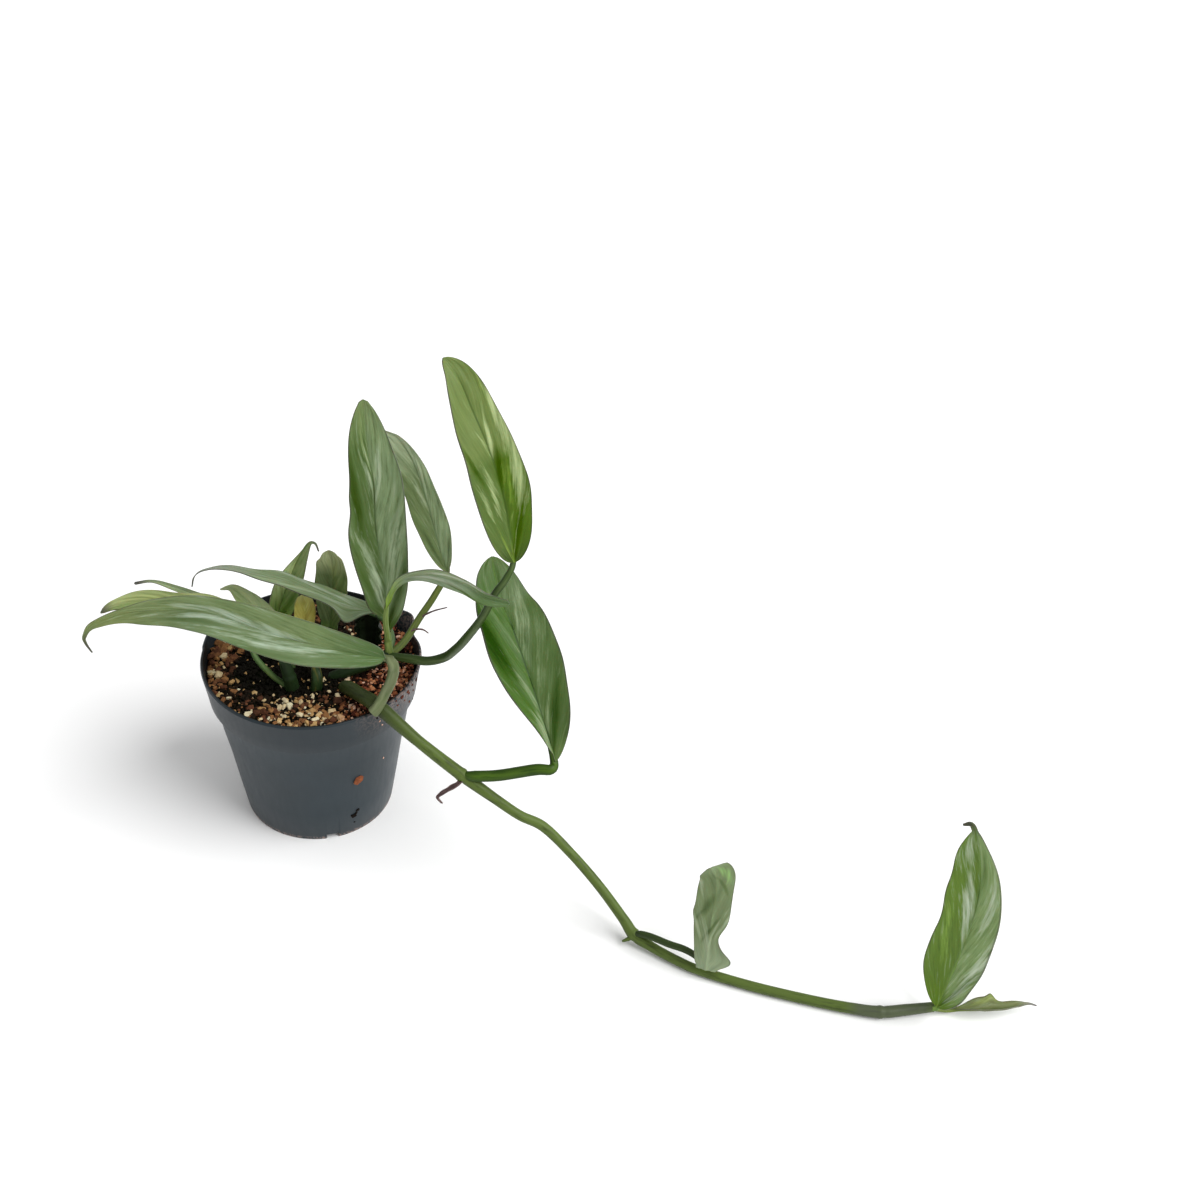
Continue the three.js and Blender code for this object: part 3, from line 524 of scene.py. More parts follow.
def points_along(points, steps):
    """Points at equal steps along the smooth curve through the given ones, and the curve's length."""
    p = np.asarray(points, float)
    ends = np.vstack([2 * p[0] - p[1], p, 2 * p[-1] - p[-2]])
    t = np.linspace(0, 1, 40, endpoint=False)[:, None]
    dense = [
        0.5 * (2 * b + (c - a) * t + (2 * a - 5 * b + 4 * c - d) * t**2 + (3 * b - a - 3 * c + d) * t**3)
        for a, b, c, d in zip(ends, ends[1:], ends[2:], ends[3:])
    ]
    dense = np.vstack([*dense, p[-1:]])
    gone = np.r_[0, np.cumsum(np.linalg.norm(np.diff(dense, axis=0), axis=1))]
    at = np.linspace(0, gone[-1], steps + 1)
    return np.stack([np.interp(at, gone, dense[:, k]) for k in range(3)], axis=-1), gone[-1]


def frames_along(points, steps, base_face, tip_face):
    """Place, normal and side at equal steps along the curve, and the curve's length."""
    places, length = points_along(points, steps)
    directions = unit(np.gradient(places, axis=0))
    share = np.linspace(0, 1, steps + 1)[:, None]
    faces = (1 - share) * np.asarray(base_face, float) + share * np.asarray(tip_face, float)
    normals = unit(faces - (faces * directions).sum(1, keepdims=True) * directions)
    return places, normals, np.cross(directions, normals), length


def only(piece):
    """Selects the piece alone and makes it active."""
    bpy.ops.object.select_all(action="DESELECT")
    piece.select_set(True)
    bpy.context.view_layer.objects.active = piece


def apply_modifier(piece, kind, **settings):
    """Adds a modifier with its settings and applies it."""
    only(piece)
    modifier = piece.modifiers.new(kind.title(), kind)
    for key, value in settings.items():
        setattr(modifier, key, value)
    bpy.ops.object.modifier_apply(modifier=modifier.name)


def grid_piece(name, points, fields=None):
    """A grid primitive whose vertices are moved to points, rows by columns, in millimetres."""
    rows, columns = points.shape[0] - 1, points.shape[1] - 1
    bpy.ops.object.select_all(action="DESELECT")
    bpy.ops.mesh.primitive_grid_add(x_subdivisions=rows, y_subdivisions=columns, size=1)
    piece = bpy.context.object
    piece.name = piece.data.name = name
    flat = np.empty(len(piece.data.vertices) * 3)
    piece.data.vertices.foreach_get("co", flat)
    flat = flat.reshape(-1, 3)
    row = np.rint((flat[:, 0] + 0.5) * rows).astype(int)
    column = np.rint((flat[:, 1] + 0.5) * columns).astype(int)
    piece.data.vertices.foreach_set("co", (points[row, column] * MM).ravel())
    for field, values in (fields or {}).items():
        made = piece.data.attributes.new(field, "FLOAT_VECTOR", "POINT")
        made.data.foreach_set("vector", np.ascontiguousarray(values[row, column], np.float32).ravel())
    piece.data.update()
    return piece


def close_ends(piece):
    """Joins the seam of a rolled-up piece, fills its open ends and turns its faces out."""
    only(piece)
    bpy.ops.object.mode_set(mode="EDIT")
    bpy.ops.mesh.select_all(action="SELECT")
    bpy.ops.mesh.remove_doubles(threshold=0.01 * MM)
    bpy.ops.mesh.select_all(action="SELECT")
    bpy.ops.mesh.fill_holes(sides=0)
    bpy.ops.mesh.select_all(action="SELECT")
    bpy.ops.mesh.normals_make_consistent(inside=False)
    bpy.ops.object.mode_set(mode="OBJECT")


def smooth(piece, degrees=60):
    """Shades the piece smooth, but for edges sharper than the angle."""
    only(piece)
    bpy.ops.object.shade_smooth_by_angle(angle=math.radians(degrees))


def join(pieces):
    """Joins the pieces into the first one."""
    only(pieces[0])
    for piece in pieces:
        piece.select_set(True)
    bpy.ops.object.join()
    return pieces[0]


def tube(name, path, radii, face=STEM_FACE, sides=16, step=1.2, rings=(), flat=1.0, groove=0.0):
    """A closed tube through the points. flat thins it front to back; groove sinks its face side."""
    count = max(8, round(points_along(path, 1)[1] / step))
    places, normals, sideways, length = frames_along(path, count, face, face)
    knots = np.r_[0, np.cumsum([np.linalg.norm(np.subtract(b, a)) for a, b in zip(path, path[1:])])]
    at = np.linspace(0, knots[-1], count + 1)
    radius = np.interp(at, knots, radii)
    for ring in rings:
        for height, spread, after in SCAR:
            radius = radius + height * bell(at - knots[ring] - after, spread)
    turn = np.linspace(0, 2 * math.pi, sides + 1)[None, :, None]
    around = np.cos(turn) * sideways[:, None] + flat * np.sin(turn) * normals[:, None]
    around = around * (1 - groove * bell(turn - math.pi / 2, 0.45))
    piece = grid_piece(name, places[:, None] + radius[:, None, None] * around)
    for corner in piece.data.uv_layers.active.data:
        corner.uv = (corner.uv[0] * length, corner.uv[1])
    close_ends(piece)
    smooth(piece)
    return piece


def half_width(leaf, t, length):
    """Half the blade's width at the shares t of the midrib, with its thin tail or rounded tip."""
    u = np.clip(t / (1 - leaf["tail"]), 0, 1)
    rise = leaf["full"] * leaf["peak"]
    fall = leaf["full"] * (1 - leaf["peak"])
    most = leaf["peak"] ** rise * (1 - leaf["peak"]) ** fall
    body = leaf["half"] * u**rise * (1 - u) ** fall / most
    if leaf["tail"]:
        thin = 0.4 + 0.8 * np.clip((1 - t) / leaf["tail"], 0, 1)
        return np.hypot(body, thin * np.clip((t - 0.3) / 0.3, 0, 1)) + 0.3 * (1 - t)
    from_tip = np.clip((1 - t) * length / leaf["blunt"], 0, 1)
    tip = leaf["blunt"] * np.sqrt(1 - (1 - from_tip) ** 2)
    return np.maximum(body * np.sqrt(from_tip), tip) + 0.12


def blade_relief(settings, seed, t, share, half, vein, length):
    """How far a blade rises off its flat, in millimetres: groove, pleats, swellings and edge waves."""
    outward = np.abs(share)
    pleat = np.sin(2 * math.pi * vein / (settings.pleat / MM) + seed) * np.sin(math.pi * outward) ** 0.7
    pillow = np.sin(0.21 * length * t + 2.1 * share + seed) * np.sin(2.4 * share - 1.7 * seed)
    wave = np.sin(2 * math.pi * (2.3 * t + 0.17 * seed) + share) + 0.5 * np.sin(9.1 * math.pi * t + seed)
    rise = settings.pleat_height * pleat - settings.groove * bell(share * half, 0.8)
    rise = rise + settings.pillow * pillow * np.minimum(outward * half / 3, 1)
    rise = rise + settings.wave * wave * outward**2.5
    return np.clip(half / 7, 0, 1) * rise / MM


def blade(name, leaf, look, settings, seed):
    """A leaf blade with its thickness, outline, relief and the fields that its material reads."""
    rows, columns = 130, 28
    places, normals, sides, length = frames_along(leaf["rib"], rows, *leaf["face"])
    t = np.linspace(0, 1, rows + 1)[:, None]
    spread = np.linspace(1, -1, columns + 1)[None, :]
    share = np.sign(spread) * np.abs(spread) ** 1.25
    outward = np.abs(share)
    everywhere = np.ones((rows + 1, columns + 1))
    half = half_width(leaf, t, length) * everywhere
    lift = 0 * everywhere
    for at, reach, side, wider, raised in leaf["bumps"]:
        bump = bell(t - at, reach) * (np.sign(share) == side)
        half = np.maximum(half + wider * bump, 0.3)
        lift = lift + raised * bump * outward**2
    slant = 0.5 * length
    vein = t * length - slant * outward**0.95 + 43 * (share > 0)
    lift = lift + blade_relief(settings, seed, t, share, half, vein, length)
    fold = leaf["fold"][0] * (1 - t) + leaf["fold"][1] * t
    across = share * half
    folded_up = lift + outward**1.35 * half * np.sin(fold)
    points = places[:, None] + (across * np.cos(fold))[..., None] * sides[:, None]
    points = points + folded_up[..., None] * normals[:, None]
    tone = np.zeros((3, rows + 1, columns + 1))
    for kind, at, reach, middle, width, amount, *lean in look["patches"]:
        drift = lean[0] * (share - middle) if lean else 0.45 * (outward - abs(middle))
        spot = amount * bell(t - at - drift, reach) * bell(share - middle, width)
        layer = PATCH_KINDS.index(kind)
        tone[layer] = np.maximum(tone[layer], spot)
    fields = {
        "vein": np.stack([vein * leaf["half"] / slant, t * length * everywhere, across], axis=-1),
        "blade": np.stack([t * everywhere, share * everywhere, 0 * everywhere], axis=-1),
        "tone": np.moveaxis(tone, 0, -1),
    }
    piece = grid_piece(name, points, fields)
    for side in ("upper", "lower"):
        skin = leaf_cuticle(f"Leaf {side} side {name}", look, settings, seed, side == "lower")
        piece.data.materials.append(skin)
    sheet = {"thickness": settings.thickness, "offset": 0, "material_offset": 1, "material_offset_rim": 0}
    apply_modifier(piece, "SOLIDIFY", **sheet)
    smooth(piece)
    return piece


def petiole(name, leaf, thickness):
    """The petiole, which runs on under the blade as its raised midrib."""
    steps = 20
    ribs, normals, _, _ = frames_along(leaf["rib"], steps, *leaf["face"])
    sizes = [leaf["radii"][-1] * part for part in leaf["under"]]
    under = [
        tuple(ribs[i] - normals[i] * (size + thickness / MM / 2) * 0.8)
        for i, size in zip((0, 3, 7, 12, 16), sizes)
    ]
    path, radii = [*leaf["stalk"], *under], [*leaf["radii"], *sizes]
    return tube(name, path, radii, face=leaf["face"][0], flat=0.9, groove=0.16, sides=18)


def curled_strip(name, path, radii, span=3.9, thickness=0.35, twist=0.0, face=STEM_FACE):
    """A thin ragged strip that curls round its own length, through an angle of span."""
    rows, columns = 44, 12
    places, normals, sides, _ = frames_along(path, rows, face, face)
    t = np.linspace(0, 1, rows + 1)[:, None]
    radius = np.interp(t, np.linspace(0, 1, len(radii)), radii)
    across = np.linspace(-1, 1, columns + 1)[None, :]
    turn = (span / 2 * across + twist * t)[..., None]
    reach = (radius * (1 + 0.12 * np.sin(23 * t) * np.abs(across)))[..., None]
    around = np.cos(turn) * sides[:, None] + np.sin(turn) * normals[:, None]
    piece = grid_piece(name, places[:, None] + reach * around)
    apply_modifier(piece, "SOLIDIFY", thickness=thickness * MM, offset=0)
    smooth(piece)
    return piece


def soil_height(x, y):
    """The soil's top, in millimetres, as in the CAD solid: a low heap and soft waves."""
    heap = 3 * np.exp(-((x - 18) ** 2 + (y + 24) ** 2) / 1400)
    broad = 0.9 * np.sin(x * 0.21 + 1) * np.cos(y * 0.17)
    return 94 + heap + broad + 0.6 * np.sin(x * 0.43 - y * 0.37)


def chip_shapes(settings):
    """Points and faces of the few chips that the loose pieces are copied from: flakes, then grains."""
    draw = random.Random(settings.seed)
    shapes = []
    for kind in ["flake"] * 3 + ["grain"] * 3:
        bpy.ops.object.select_all(action="DESELECT")
        if kind == "flake":
            bpy.ops.mesh.primitive_cube_add(size=1)
            chip = bpy.context.object
            apply_modifier(chip, "BEVEL", width=0.16, segments=1)
        else:
            bpy.ops.mesh.primitive_ico_sphere_add(subdivisions=1, radius=0.55)
            chip = bpy.context.object
        for vertex in chip.data.vertices:
            vertex.co += 0.09 * Vector([draw.uniform(-1, 1) for _ in range(3)])
        points = np.array([vertex.co for vertex in chip.data.vertices])
        faces = [tuple(face.vertices) for face in chip.data.polygons]
        shapes.append((points, faces))
        bpy.data.objects.remove(chip)
    return shapes


def scatter(name, shapes, chips):
    """One mesh of many chips. Each is (shape, place in metres, size in metres, turn, tint)."""
    all_points, all_faces, tints = [], [], []
    for index, place, size, turn, tint in chips:
        points, faces = shapes[index]
        start = len(tints)
        all_points.append((points * size) @ np.array(turn).T + place)
        all_faces.extend([tuple(i + start for i in face) for face in faces])
        tints.extend([tint] * len(points))
    mesh = bpy.data.meshes.new(name)
    mesh.from_pydata(np.vstack(all_points).tolist(), [], all_faces)
    mesh.attributes.new("tint", "FLOAT", "POINT").data.foreach_set("value", tints)
    piece = bpy.data.objects.new(name, mesh)
    bpy.context.scene.collection.objects.link(piece)
    return piece


def finish_piece(piece, materials, *nodes, slot):
    """Gives a piece its materials, lets it ride on the plant's body and stand for its CAD nodes."""
    if not piece.data.polygons:
        raise RuntimeError(f"{piece.name} has no faces")
    if materials:
        piece.data.materials.clear()
    for material in materials:
        piece.data.materials.append(material)
    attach(piece, "root")
    if nodes:
        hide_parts(*nodes)


def node(tree, kind, inputs=None, stops=None, **settings):
    """Adds a shader node: a socket in inputs is linked, a value is set. stops fill a colour ramp."""
    made = tree.nodes.new("ShaderNode" + kind)
    for key, value in settings.items():
        setattr(made, key, value)
    if stops:
        elements = made.color_ramp.elements
        elements.remove(elements[1])
        elements[0].position, elements[0].color = stops[0]
        for place, colour in stops[1:]:
            elements.new(place).color = colour
    for key, value in (inputs or {}).items():
        if isinstance(value, bpy.types.NodeSocket):
            tree.links.new(value, made.inputs[key])
        else:
            made.inputs[key].default_value = value
    return made


def new_material(name):
    """An empty material, and its node tree."""
    material = bpy.data.materials.new(name)
    material.use_nodes = True
    material.node_tree.nodes.clear()
    return material, material.node_tree


def paint(tree, colour, *layers):
    """Lays colours over a colour. A layer is (colour, share) and then the ramps that fade it.

    Each ramp is (value, where the layer begins, where it is full)."""
    for over, share, *ramps in layers:
        for value, begins, full in ramps:
            ramp = {"Value": value, "From Min": begins, "From Max": full, "To Max": share}
            share = node(tree, "MapRange", ramp).outputs[0]
        colour = node(tree, "Mix", {0: share, 6: colour, 7: over}, data_type="RGBA").outputs[2]
    return colour


def finish_surface(tree, inputs, relief=None):
    """The end that every material shares: its surface, and its relief as (height, strength, distance)."""
    if relief:
        height, strength, distance = relief
        bump = {"Height": height, "Strength": strength, "Distance": distance}
        inputs = {**inputs, "Normal": node(tree, "Bump", bump).outputs[0]}
    surface = node(tree, "BsdfPrincipled", inputs)
    node(tree, "OutputMaterial", {"Surface": surface.outputs[0]})


def leaf_cuticle(name, look, settings, seed, under):
    """Living leaf: a waxy cuticle over green tissue. To the eye it is satin, streaked along the veins."""
    material, tree = new_material(name)
    vein, place, tone = [
        node(tree, "Attribute", attribute_name=field).outputs["Vector"] for field in ("vein", "blade", "tone")
    ]
    t, share, _ = node(tree, "SeparateXYZ", {0: place}).outputs
    along_vein, _, across = node(tree, "SeparateXYZ", {0: vein}).outputs
    amounts = node(tree, "SeparateXYZ", {0: tone}).outputs
    outward = node(tree, "Math", {0: share}, operation="ABSOLUTE").outputs[0]
    from_rib = node(tree, "Math", {0: across}, operation="ABSOLUTE").outputs[0]
    dark, light, silver_and_sheen = (linear(look[kind]) for kind in PATCH_KINDS)

    # Streaks run along the veins. The fine ones are about 2 mm wide and 20 mm long, the broad ones 7 and 50.
    streaks = []
    for shift, scale, detail, rough in ((0, (0.5, 0.05, 0.06), 4, 0.65), (9, (0.14, 0.02, 0.03), 3, 0.5)):
        at = node(tree, "Mapping", {0: vein, "Location": (seed, shift, 0), "Scale": scale}).outputs[0]
        inputs = {"Vector": at, "Scale": 1, "Detail": detail, "Roughness": rough}
        streaks.append(node(tree, "TexNoise", inputs).outputs[0])
    fine, broad = streaks
    uneven = node(tree, "Math", {0: broad, 1: 0.8, 2: -0.35}, operation="MULTIPLY_ADD").outputs[0]
    uneven = node(tree, "Math", {0: fine, 1: 1.7, 2: uneven}, operation="MULTIPLY_ADD").outputs[0]

    # Each half has its own colour. Where the two differ much, that is partly the leaf's own colour and partly
    # painted light and shade of how each folded half faces the light.
    left, right = look["halves"]
    foot, foot_to = look["foot"]
    tip, tip_from, tip_full = look["tip"]
    colour = paint(
        tree,
        linear(left),
        (linear(right), 1, (share, -0.1, 0.1)),
        (linear(foot), 1, (t, foot_to, foot_to * 0.2)),
        (linear(tip), 0.9, (t, tip_from, tip_full)),
    )
    # The silvery patches and streaks are partly the leaf's own silver and partly painted sheen.
    patches = []
    kinds = ((dark, 1.85, 0.95), (light, 1.85, 0.9), (silver_and_sheen, 1.95, 0.85))
    for (over, full, most), amount in zip(kinds, amounts):
        value = node(tree, "Math", {0: uneven, 1: amount}, operation="ADD").outputs[0]
        ragged = {"Value": value, "From Min": 1.15, "From Max": full, "To Max": most}
        patches.append(node(tree, "MapRange", ragged).outputs[0])
        colour = paint(tree, colour, (over, patches[-1]))

    # Hair-fine streaks, side veins, the painted shade in the midrib's groove, its pale foot, and the thin
    # dark edge.
    hair = settings.streaks * look["hair"]
    turn = 2 * math.pi / (settings.vein_spacing / MM)
    wave = node(tree, "Math", {0: along_vein, 1: turn}, operation="MULTIPLY").outputs[0]
    wave = node(tree, "Math", {0: wave}, operation="SINE").outputs[0]
    # The midrib's groove is painted darker, as the shade that falls in it.
    groove, groove_from, groove_to = look["groove_shade"]
    pale_rib, rib_to = look["rib"]
    along_groove = (t, groove_to, groove_to - 0.1), (t, groove_from, groove_from + 0.08)
    colour = paint(
        tree,
        colour,
        (dark, hair, (fine, 0.5, 0.3)),
        (silver_and_sheen, hair, (fine, 0.54, 0.82), (amounts[0], 0.8, 0)),
        (dark, 0.09, (wave, 0.7, 1)),
        (dark, groove, (from_rib, 0.8, 0.2), *along_groove),
        (light, pale_rib, (from_rib, 0.8, 0.3), (t, rib_to, 0.6 * rib_to)),
    )
    if under:
        colour = paint(tree, colour, ((*settings.underside, 1), look.get("pale", settings.underside_share)))
    edge = {"Value": outward, "From Min": 0.94, "From Max": 0.995, "To Max": look["edge"]}
    edge = node(tree, "MapRange", edge).outputs[0]
    worn = {"Value": t, "From Min": 0.9, "From Max": 0.97, "To Max": look["worn"]}
    worn = node(tree, "MapRange", worn).outputs[0]
    brown = node(tree, "Math", {0: edge, 1: worn}, operation="MAXIMUM").outputs[0]
    colour = paint(tree, colour, ((*settings.edge, 1), brown))

    # The silvery flecks, partly painted sheen, are a little glossier. The dark patches mirror less of the
    # bright room.
    dull = 0.55 if under else settings.roughness
    rough = node(tree, "MapRange", {"Value": patches[2], "To Min": dull, "To Max": dull - 0.06}).outputs[0]
    darkness = node(tree, "Math", {0: patches[0], 1: amounts[0]}, operation="ADD", use_clamp=True).outputs[0]
    grain = node(tree, "TexNoise", {"Vector": vein, "Scale": 1.6, "Detail": 3}).outputs[0]
    height = node(tree, "Math", {0: wave, 1: 0.1, 2: fine}, operation="MULTIPLY_ADD").outputs[0]
    height = node(tree, "Math", {0: grain, 1: 0.25, 2: height}, operation="MULTIPLY_ADD").outputs[0]
    sheen = {"Value": darkness, "From Min": 1.1, "From Max": 0, "To Max": 0.2}
    inputs = {
        "Base Color": colour, "Roughness": rough, "IOR": 1.45, "Subsurface Weight": 0.1,
        "Subsurface Scale": 1.5 * MM, "Specular IOR Level": node(tree, "MapRange", sheen).outputs[0],
    }
    finish_surface(tree, inputs, (height, 0.4, 0.25 * MM))
    return material


def living_stem(name, colour, highlight, dark, seed, old=None):
    """Living stem: smooth green skin over firm tissue, satin, with its highlight painted on as a pale stripe.
    """
    material, tree = new_material(name)
    at = node(tree, "TexCoord").outputs
    along = node(tree, "SeparateXYZ", {0: at["Object"]}).outputs[0]
    around = node(tree, "SeparateXYZ", {0: at["UV"]}).outputs[1]
    off_highlight = node(tree, "Math", {0: around, 1: 0.28}, operation="SUBTRACT").outputs[0]
    off_highlight = node(tree, "Math", {0: off_highlight}, operation="ABSOLUTE").outputs[0]
    # Streaks are about 11 mm long, with nine of them round the stem. The pores are about a millimetre apart.
    drawn = {0: at["UV"], "Location": (seed, 0, 0), "Scale": (0.09, 9, 1)}
    drawn = node(tree, "Mapping", drawn).outputs[0]
    streak = node(tree, "TexNoise", {"Vector": drawn, "Scale": 1, "Detail": 3}).outputs[0]
    pores = node(tree, "TexNoise", {"Vector": at["Object"], "Scale": 0.9 / MM, "Detail": 3}).outputs[0]
    # The pale stripe is a painted highlight, broken up by the streaks.
    colour = paint(
        tree,
        linear(colour),
        (linear(highlight), streak, (off_highlight, 0.14, 0.02)),
        (linear(dark), 0.6, (streak, 0.5, 0.3)),
    )
    if old is not None:
        # The vine is purple-grey on a stretch near its end, and painted dark where it leaves the soil, as the
        # shade of the leaves over it.
        purple = ((*old, 1), 0.6, (along, 298 * MM, 306 * MM), (along, 348 * MM, 340 * MM))
        colour = paint(tree, colour, purple, (linear(dark), 0.75, (along, 70 * MM, 45 * MM)))
    inputs = {"Base Color": colour, "Roughness": 0.45, "IOR": 1.45, "Specular IOR Level": 0.2}
    finish_surface(tree, inputs, (pores, 0.25, 0.2 * MM))
    return material


def bark_and_grit(name):
    """Composted bark and pumice grit: dull broken faces from dark brown over rust to cream."""
    material, tree = new_material(name)
    tint = node(tree, "Attribute", attribute_name="tint").outputs["Fac"]
    at = node(tree, "TexCoord").outputs["Object"]
    x = node(tree, "SeparateXYZ", {0: at}).outputs[0]
    mottle = node(tree, "TexNoise", {"Vector": at, "Scale": 0.8 / MM, "Detail": 4}).outputs[0]
    mottled = node(tree, "Math", {0: mottle, 1: 0.22, 2: tint}, operation="MULTIPLY_ADD").outputs[0]
    mottled = node(tree, "Math", {0: mottled, 1: 0.11}, operation="SUBTRACT").outputs[0]
    browns = ["#0f0c06", "#2c1d12", "#5c3826", "#8d643d", "#b89765", "#d8cfae"]
    stops = list(zip((0, 0.25, 0.45, 0.62, 0.8, 1), map(linear, browns)))
    colour = node(tree, "ValToRGB", {0: mottled}, stops=stops).outputs[0]
    # The bark at the right is freshly broken and pinker.
    right = node(tree, "MapRange", {"Value": x, "From Min": 18 * MM, "From Max": 30 * MM}).outputs[0]
    fresh = {0: right, 6: colour, 7: linear("#ffd6de")}
    colour = node(tree, "Mix", fresh, data_type="RGBA", blend_type="MULTIPLY").outputs[2]
    inputs = {"Base Color": colour, "Roughness": 0.85, "IOR": 1.4, "Specular IOR Level": 0.15}
    finish_surface(tree, inputs, (mottle, 0.6, 0.3 * MM))
    return material


def length_setting(name, default, description):
    """A length that the user can change, with its default in millimetres."""
    return FloatProperty(name=name, description=description, default=default * MM, unit="LENGTH")


def share_setting(name, default, description):
    """A share from 0 to 1 that the user can change."""
    return FloatProperty(name=name, description=description, default=default, subtype="FACTOR", max=1)


def colour_setting(name, code, description):
    """A colour that the user can change, with its default as sRGB hex."""
    return FloatVectorProperty(name=name, description=description, default=linear(code)[:3], subtype="COLOR")


class EpipremnumPotSettings(bpy.types.PropertyGroup):
    """Sizes and colours of the pot."""

    squash: length_setting("Rim squash", 5.2, "How far the soft rim is pushed out at the back right")
    edge: length_setting("Edge rounding", 0.45, "Radius of the moulded edges")
    colour: colour_setting("Plastic", "#1e292f", "Colour of the pot's plastic")
    dust: colour_setting("Dust", "#86736c", "Colour of the dried soil dust")


class EpipremnumSoilSettings(bpy.types.PropertyGroup):
    """Sizes and colours of the potting mix."""

    chips: IntProperty(name="Chips", description="Number of loose chips on top", default=5200, min=1)
    least: length_setting("Least chip", 0.9, "Length of the smallest chip")
    most: length_setting("Most chip", 4, "Length of the largest chip")
    seed: IntProperty(name="Seed", description="Seed of the chips' places", default=7)
    humus: colour_setting("Humus", "#0f0c06", "Colour of the fine dark soil")
    algae: colour_setting("Algae", "#121b07", "Colour of the green film on wet soil")


class EpipremnumStemSettings(bpy.types.PropertyGroup):
    """Colours of the stems."""

    old: colour_setting("Old stem", "#4b4d47", "Colour of the purple-grey stretch of the vine")


class EpipremnumLeafSettings(bpy.types.PropertyGroup):
    """Sizes and colours that all leaves share."""

    thickness: length_setting("Thickness", 0.55, "Thickness of a blade")
    groove: length_setting("Midrib groove", 0.4, "Depth of the groove over the midrib")
    pleat: length_setting("Pleat spacing", 19, "Distance between soft pleats, along the midrib")
    pleat_height: length_setting("Pleat height", 0.16, "Height of the soft pleats")
    pillow: length_setting("Pillow height", 0.45, "Height of the broad soft swellings of a blade")
    wave: length_setting("Edge wave", 0.5, "Height of the waving edge")
    vein_spacing: length_setting("Vein spacing", 1.5, "Distance between side veins")
    streaks: share_setting("Streaks", 0.6, "How strongly the fine streaks show")
    roughness: share_setting("Roughness", 0.4, "Roughness of the waxy upper side")
    edge: colour_setting("Edge", "#3f3b3a", "Colour of the blade's thin edge")
    underside: colour_setting("Underside", "#8aa07c", "Colour that the lower side leans to")
    underside_share: share_setting("Underside paleness", 0.4, "How far the lower side leans to that")


class EpipremnumStageSettings(bpy.types.PropertyGroup):
    """Camera, light and floor."""

    camera: FloatVectorProperty(
        name="Camera", description="Place of the camera", default=(0.156, -0.659, 0.667),
        subtype="TRANSLATION", unit="LENGTH",
    )
    pitch: FloatProperty(
        name="Camera pitch", description="How far the camera looks down", default=0.661, unit="ROTATION"
    )
    roll: FloatProperty(
        name="Camera roll", description="How far the camera is turned about its view", default=0.074,
        unit="ROTATION",
    )
    lens: FloatProperty(
        name="Focal length", description="In millimetres, for a 36 mm wide sensor", default=47.31
    )
    sun: FloatProperty(name="Light strength", description="Strength of the soft main light", default=3.4)
    sun_size: FloatProperty(
        name="Light size", description="Angle that the main light spans", default=0.9, unit="ROTATION"
    )
    sun_from: FloatVectorProperty(
        name="Light from", description="Direction that the main light comes from", default=(0.92, -0.24, 1)
    )
    sky: FloatProperty(name="Fill strength", description="Strength of the even fill light", default=0.61)
    floor: colour_setting("Floor", "#f4f4f4", "Colour of the pale floor")


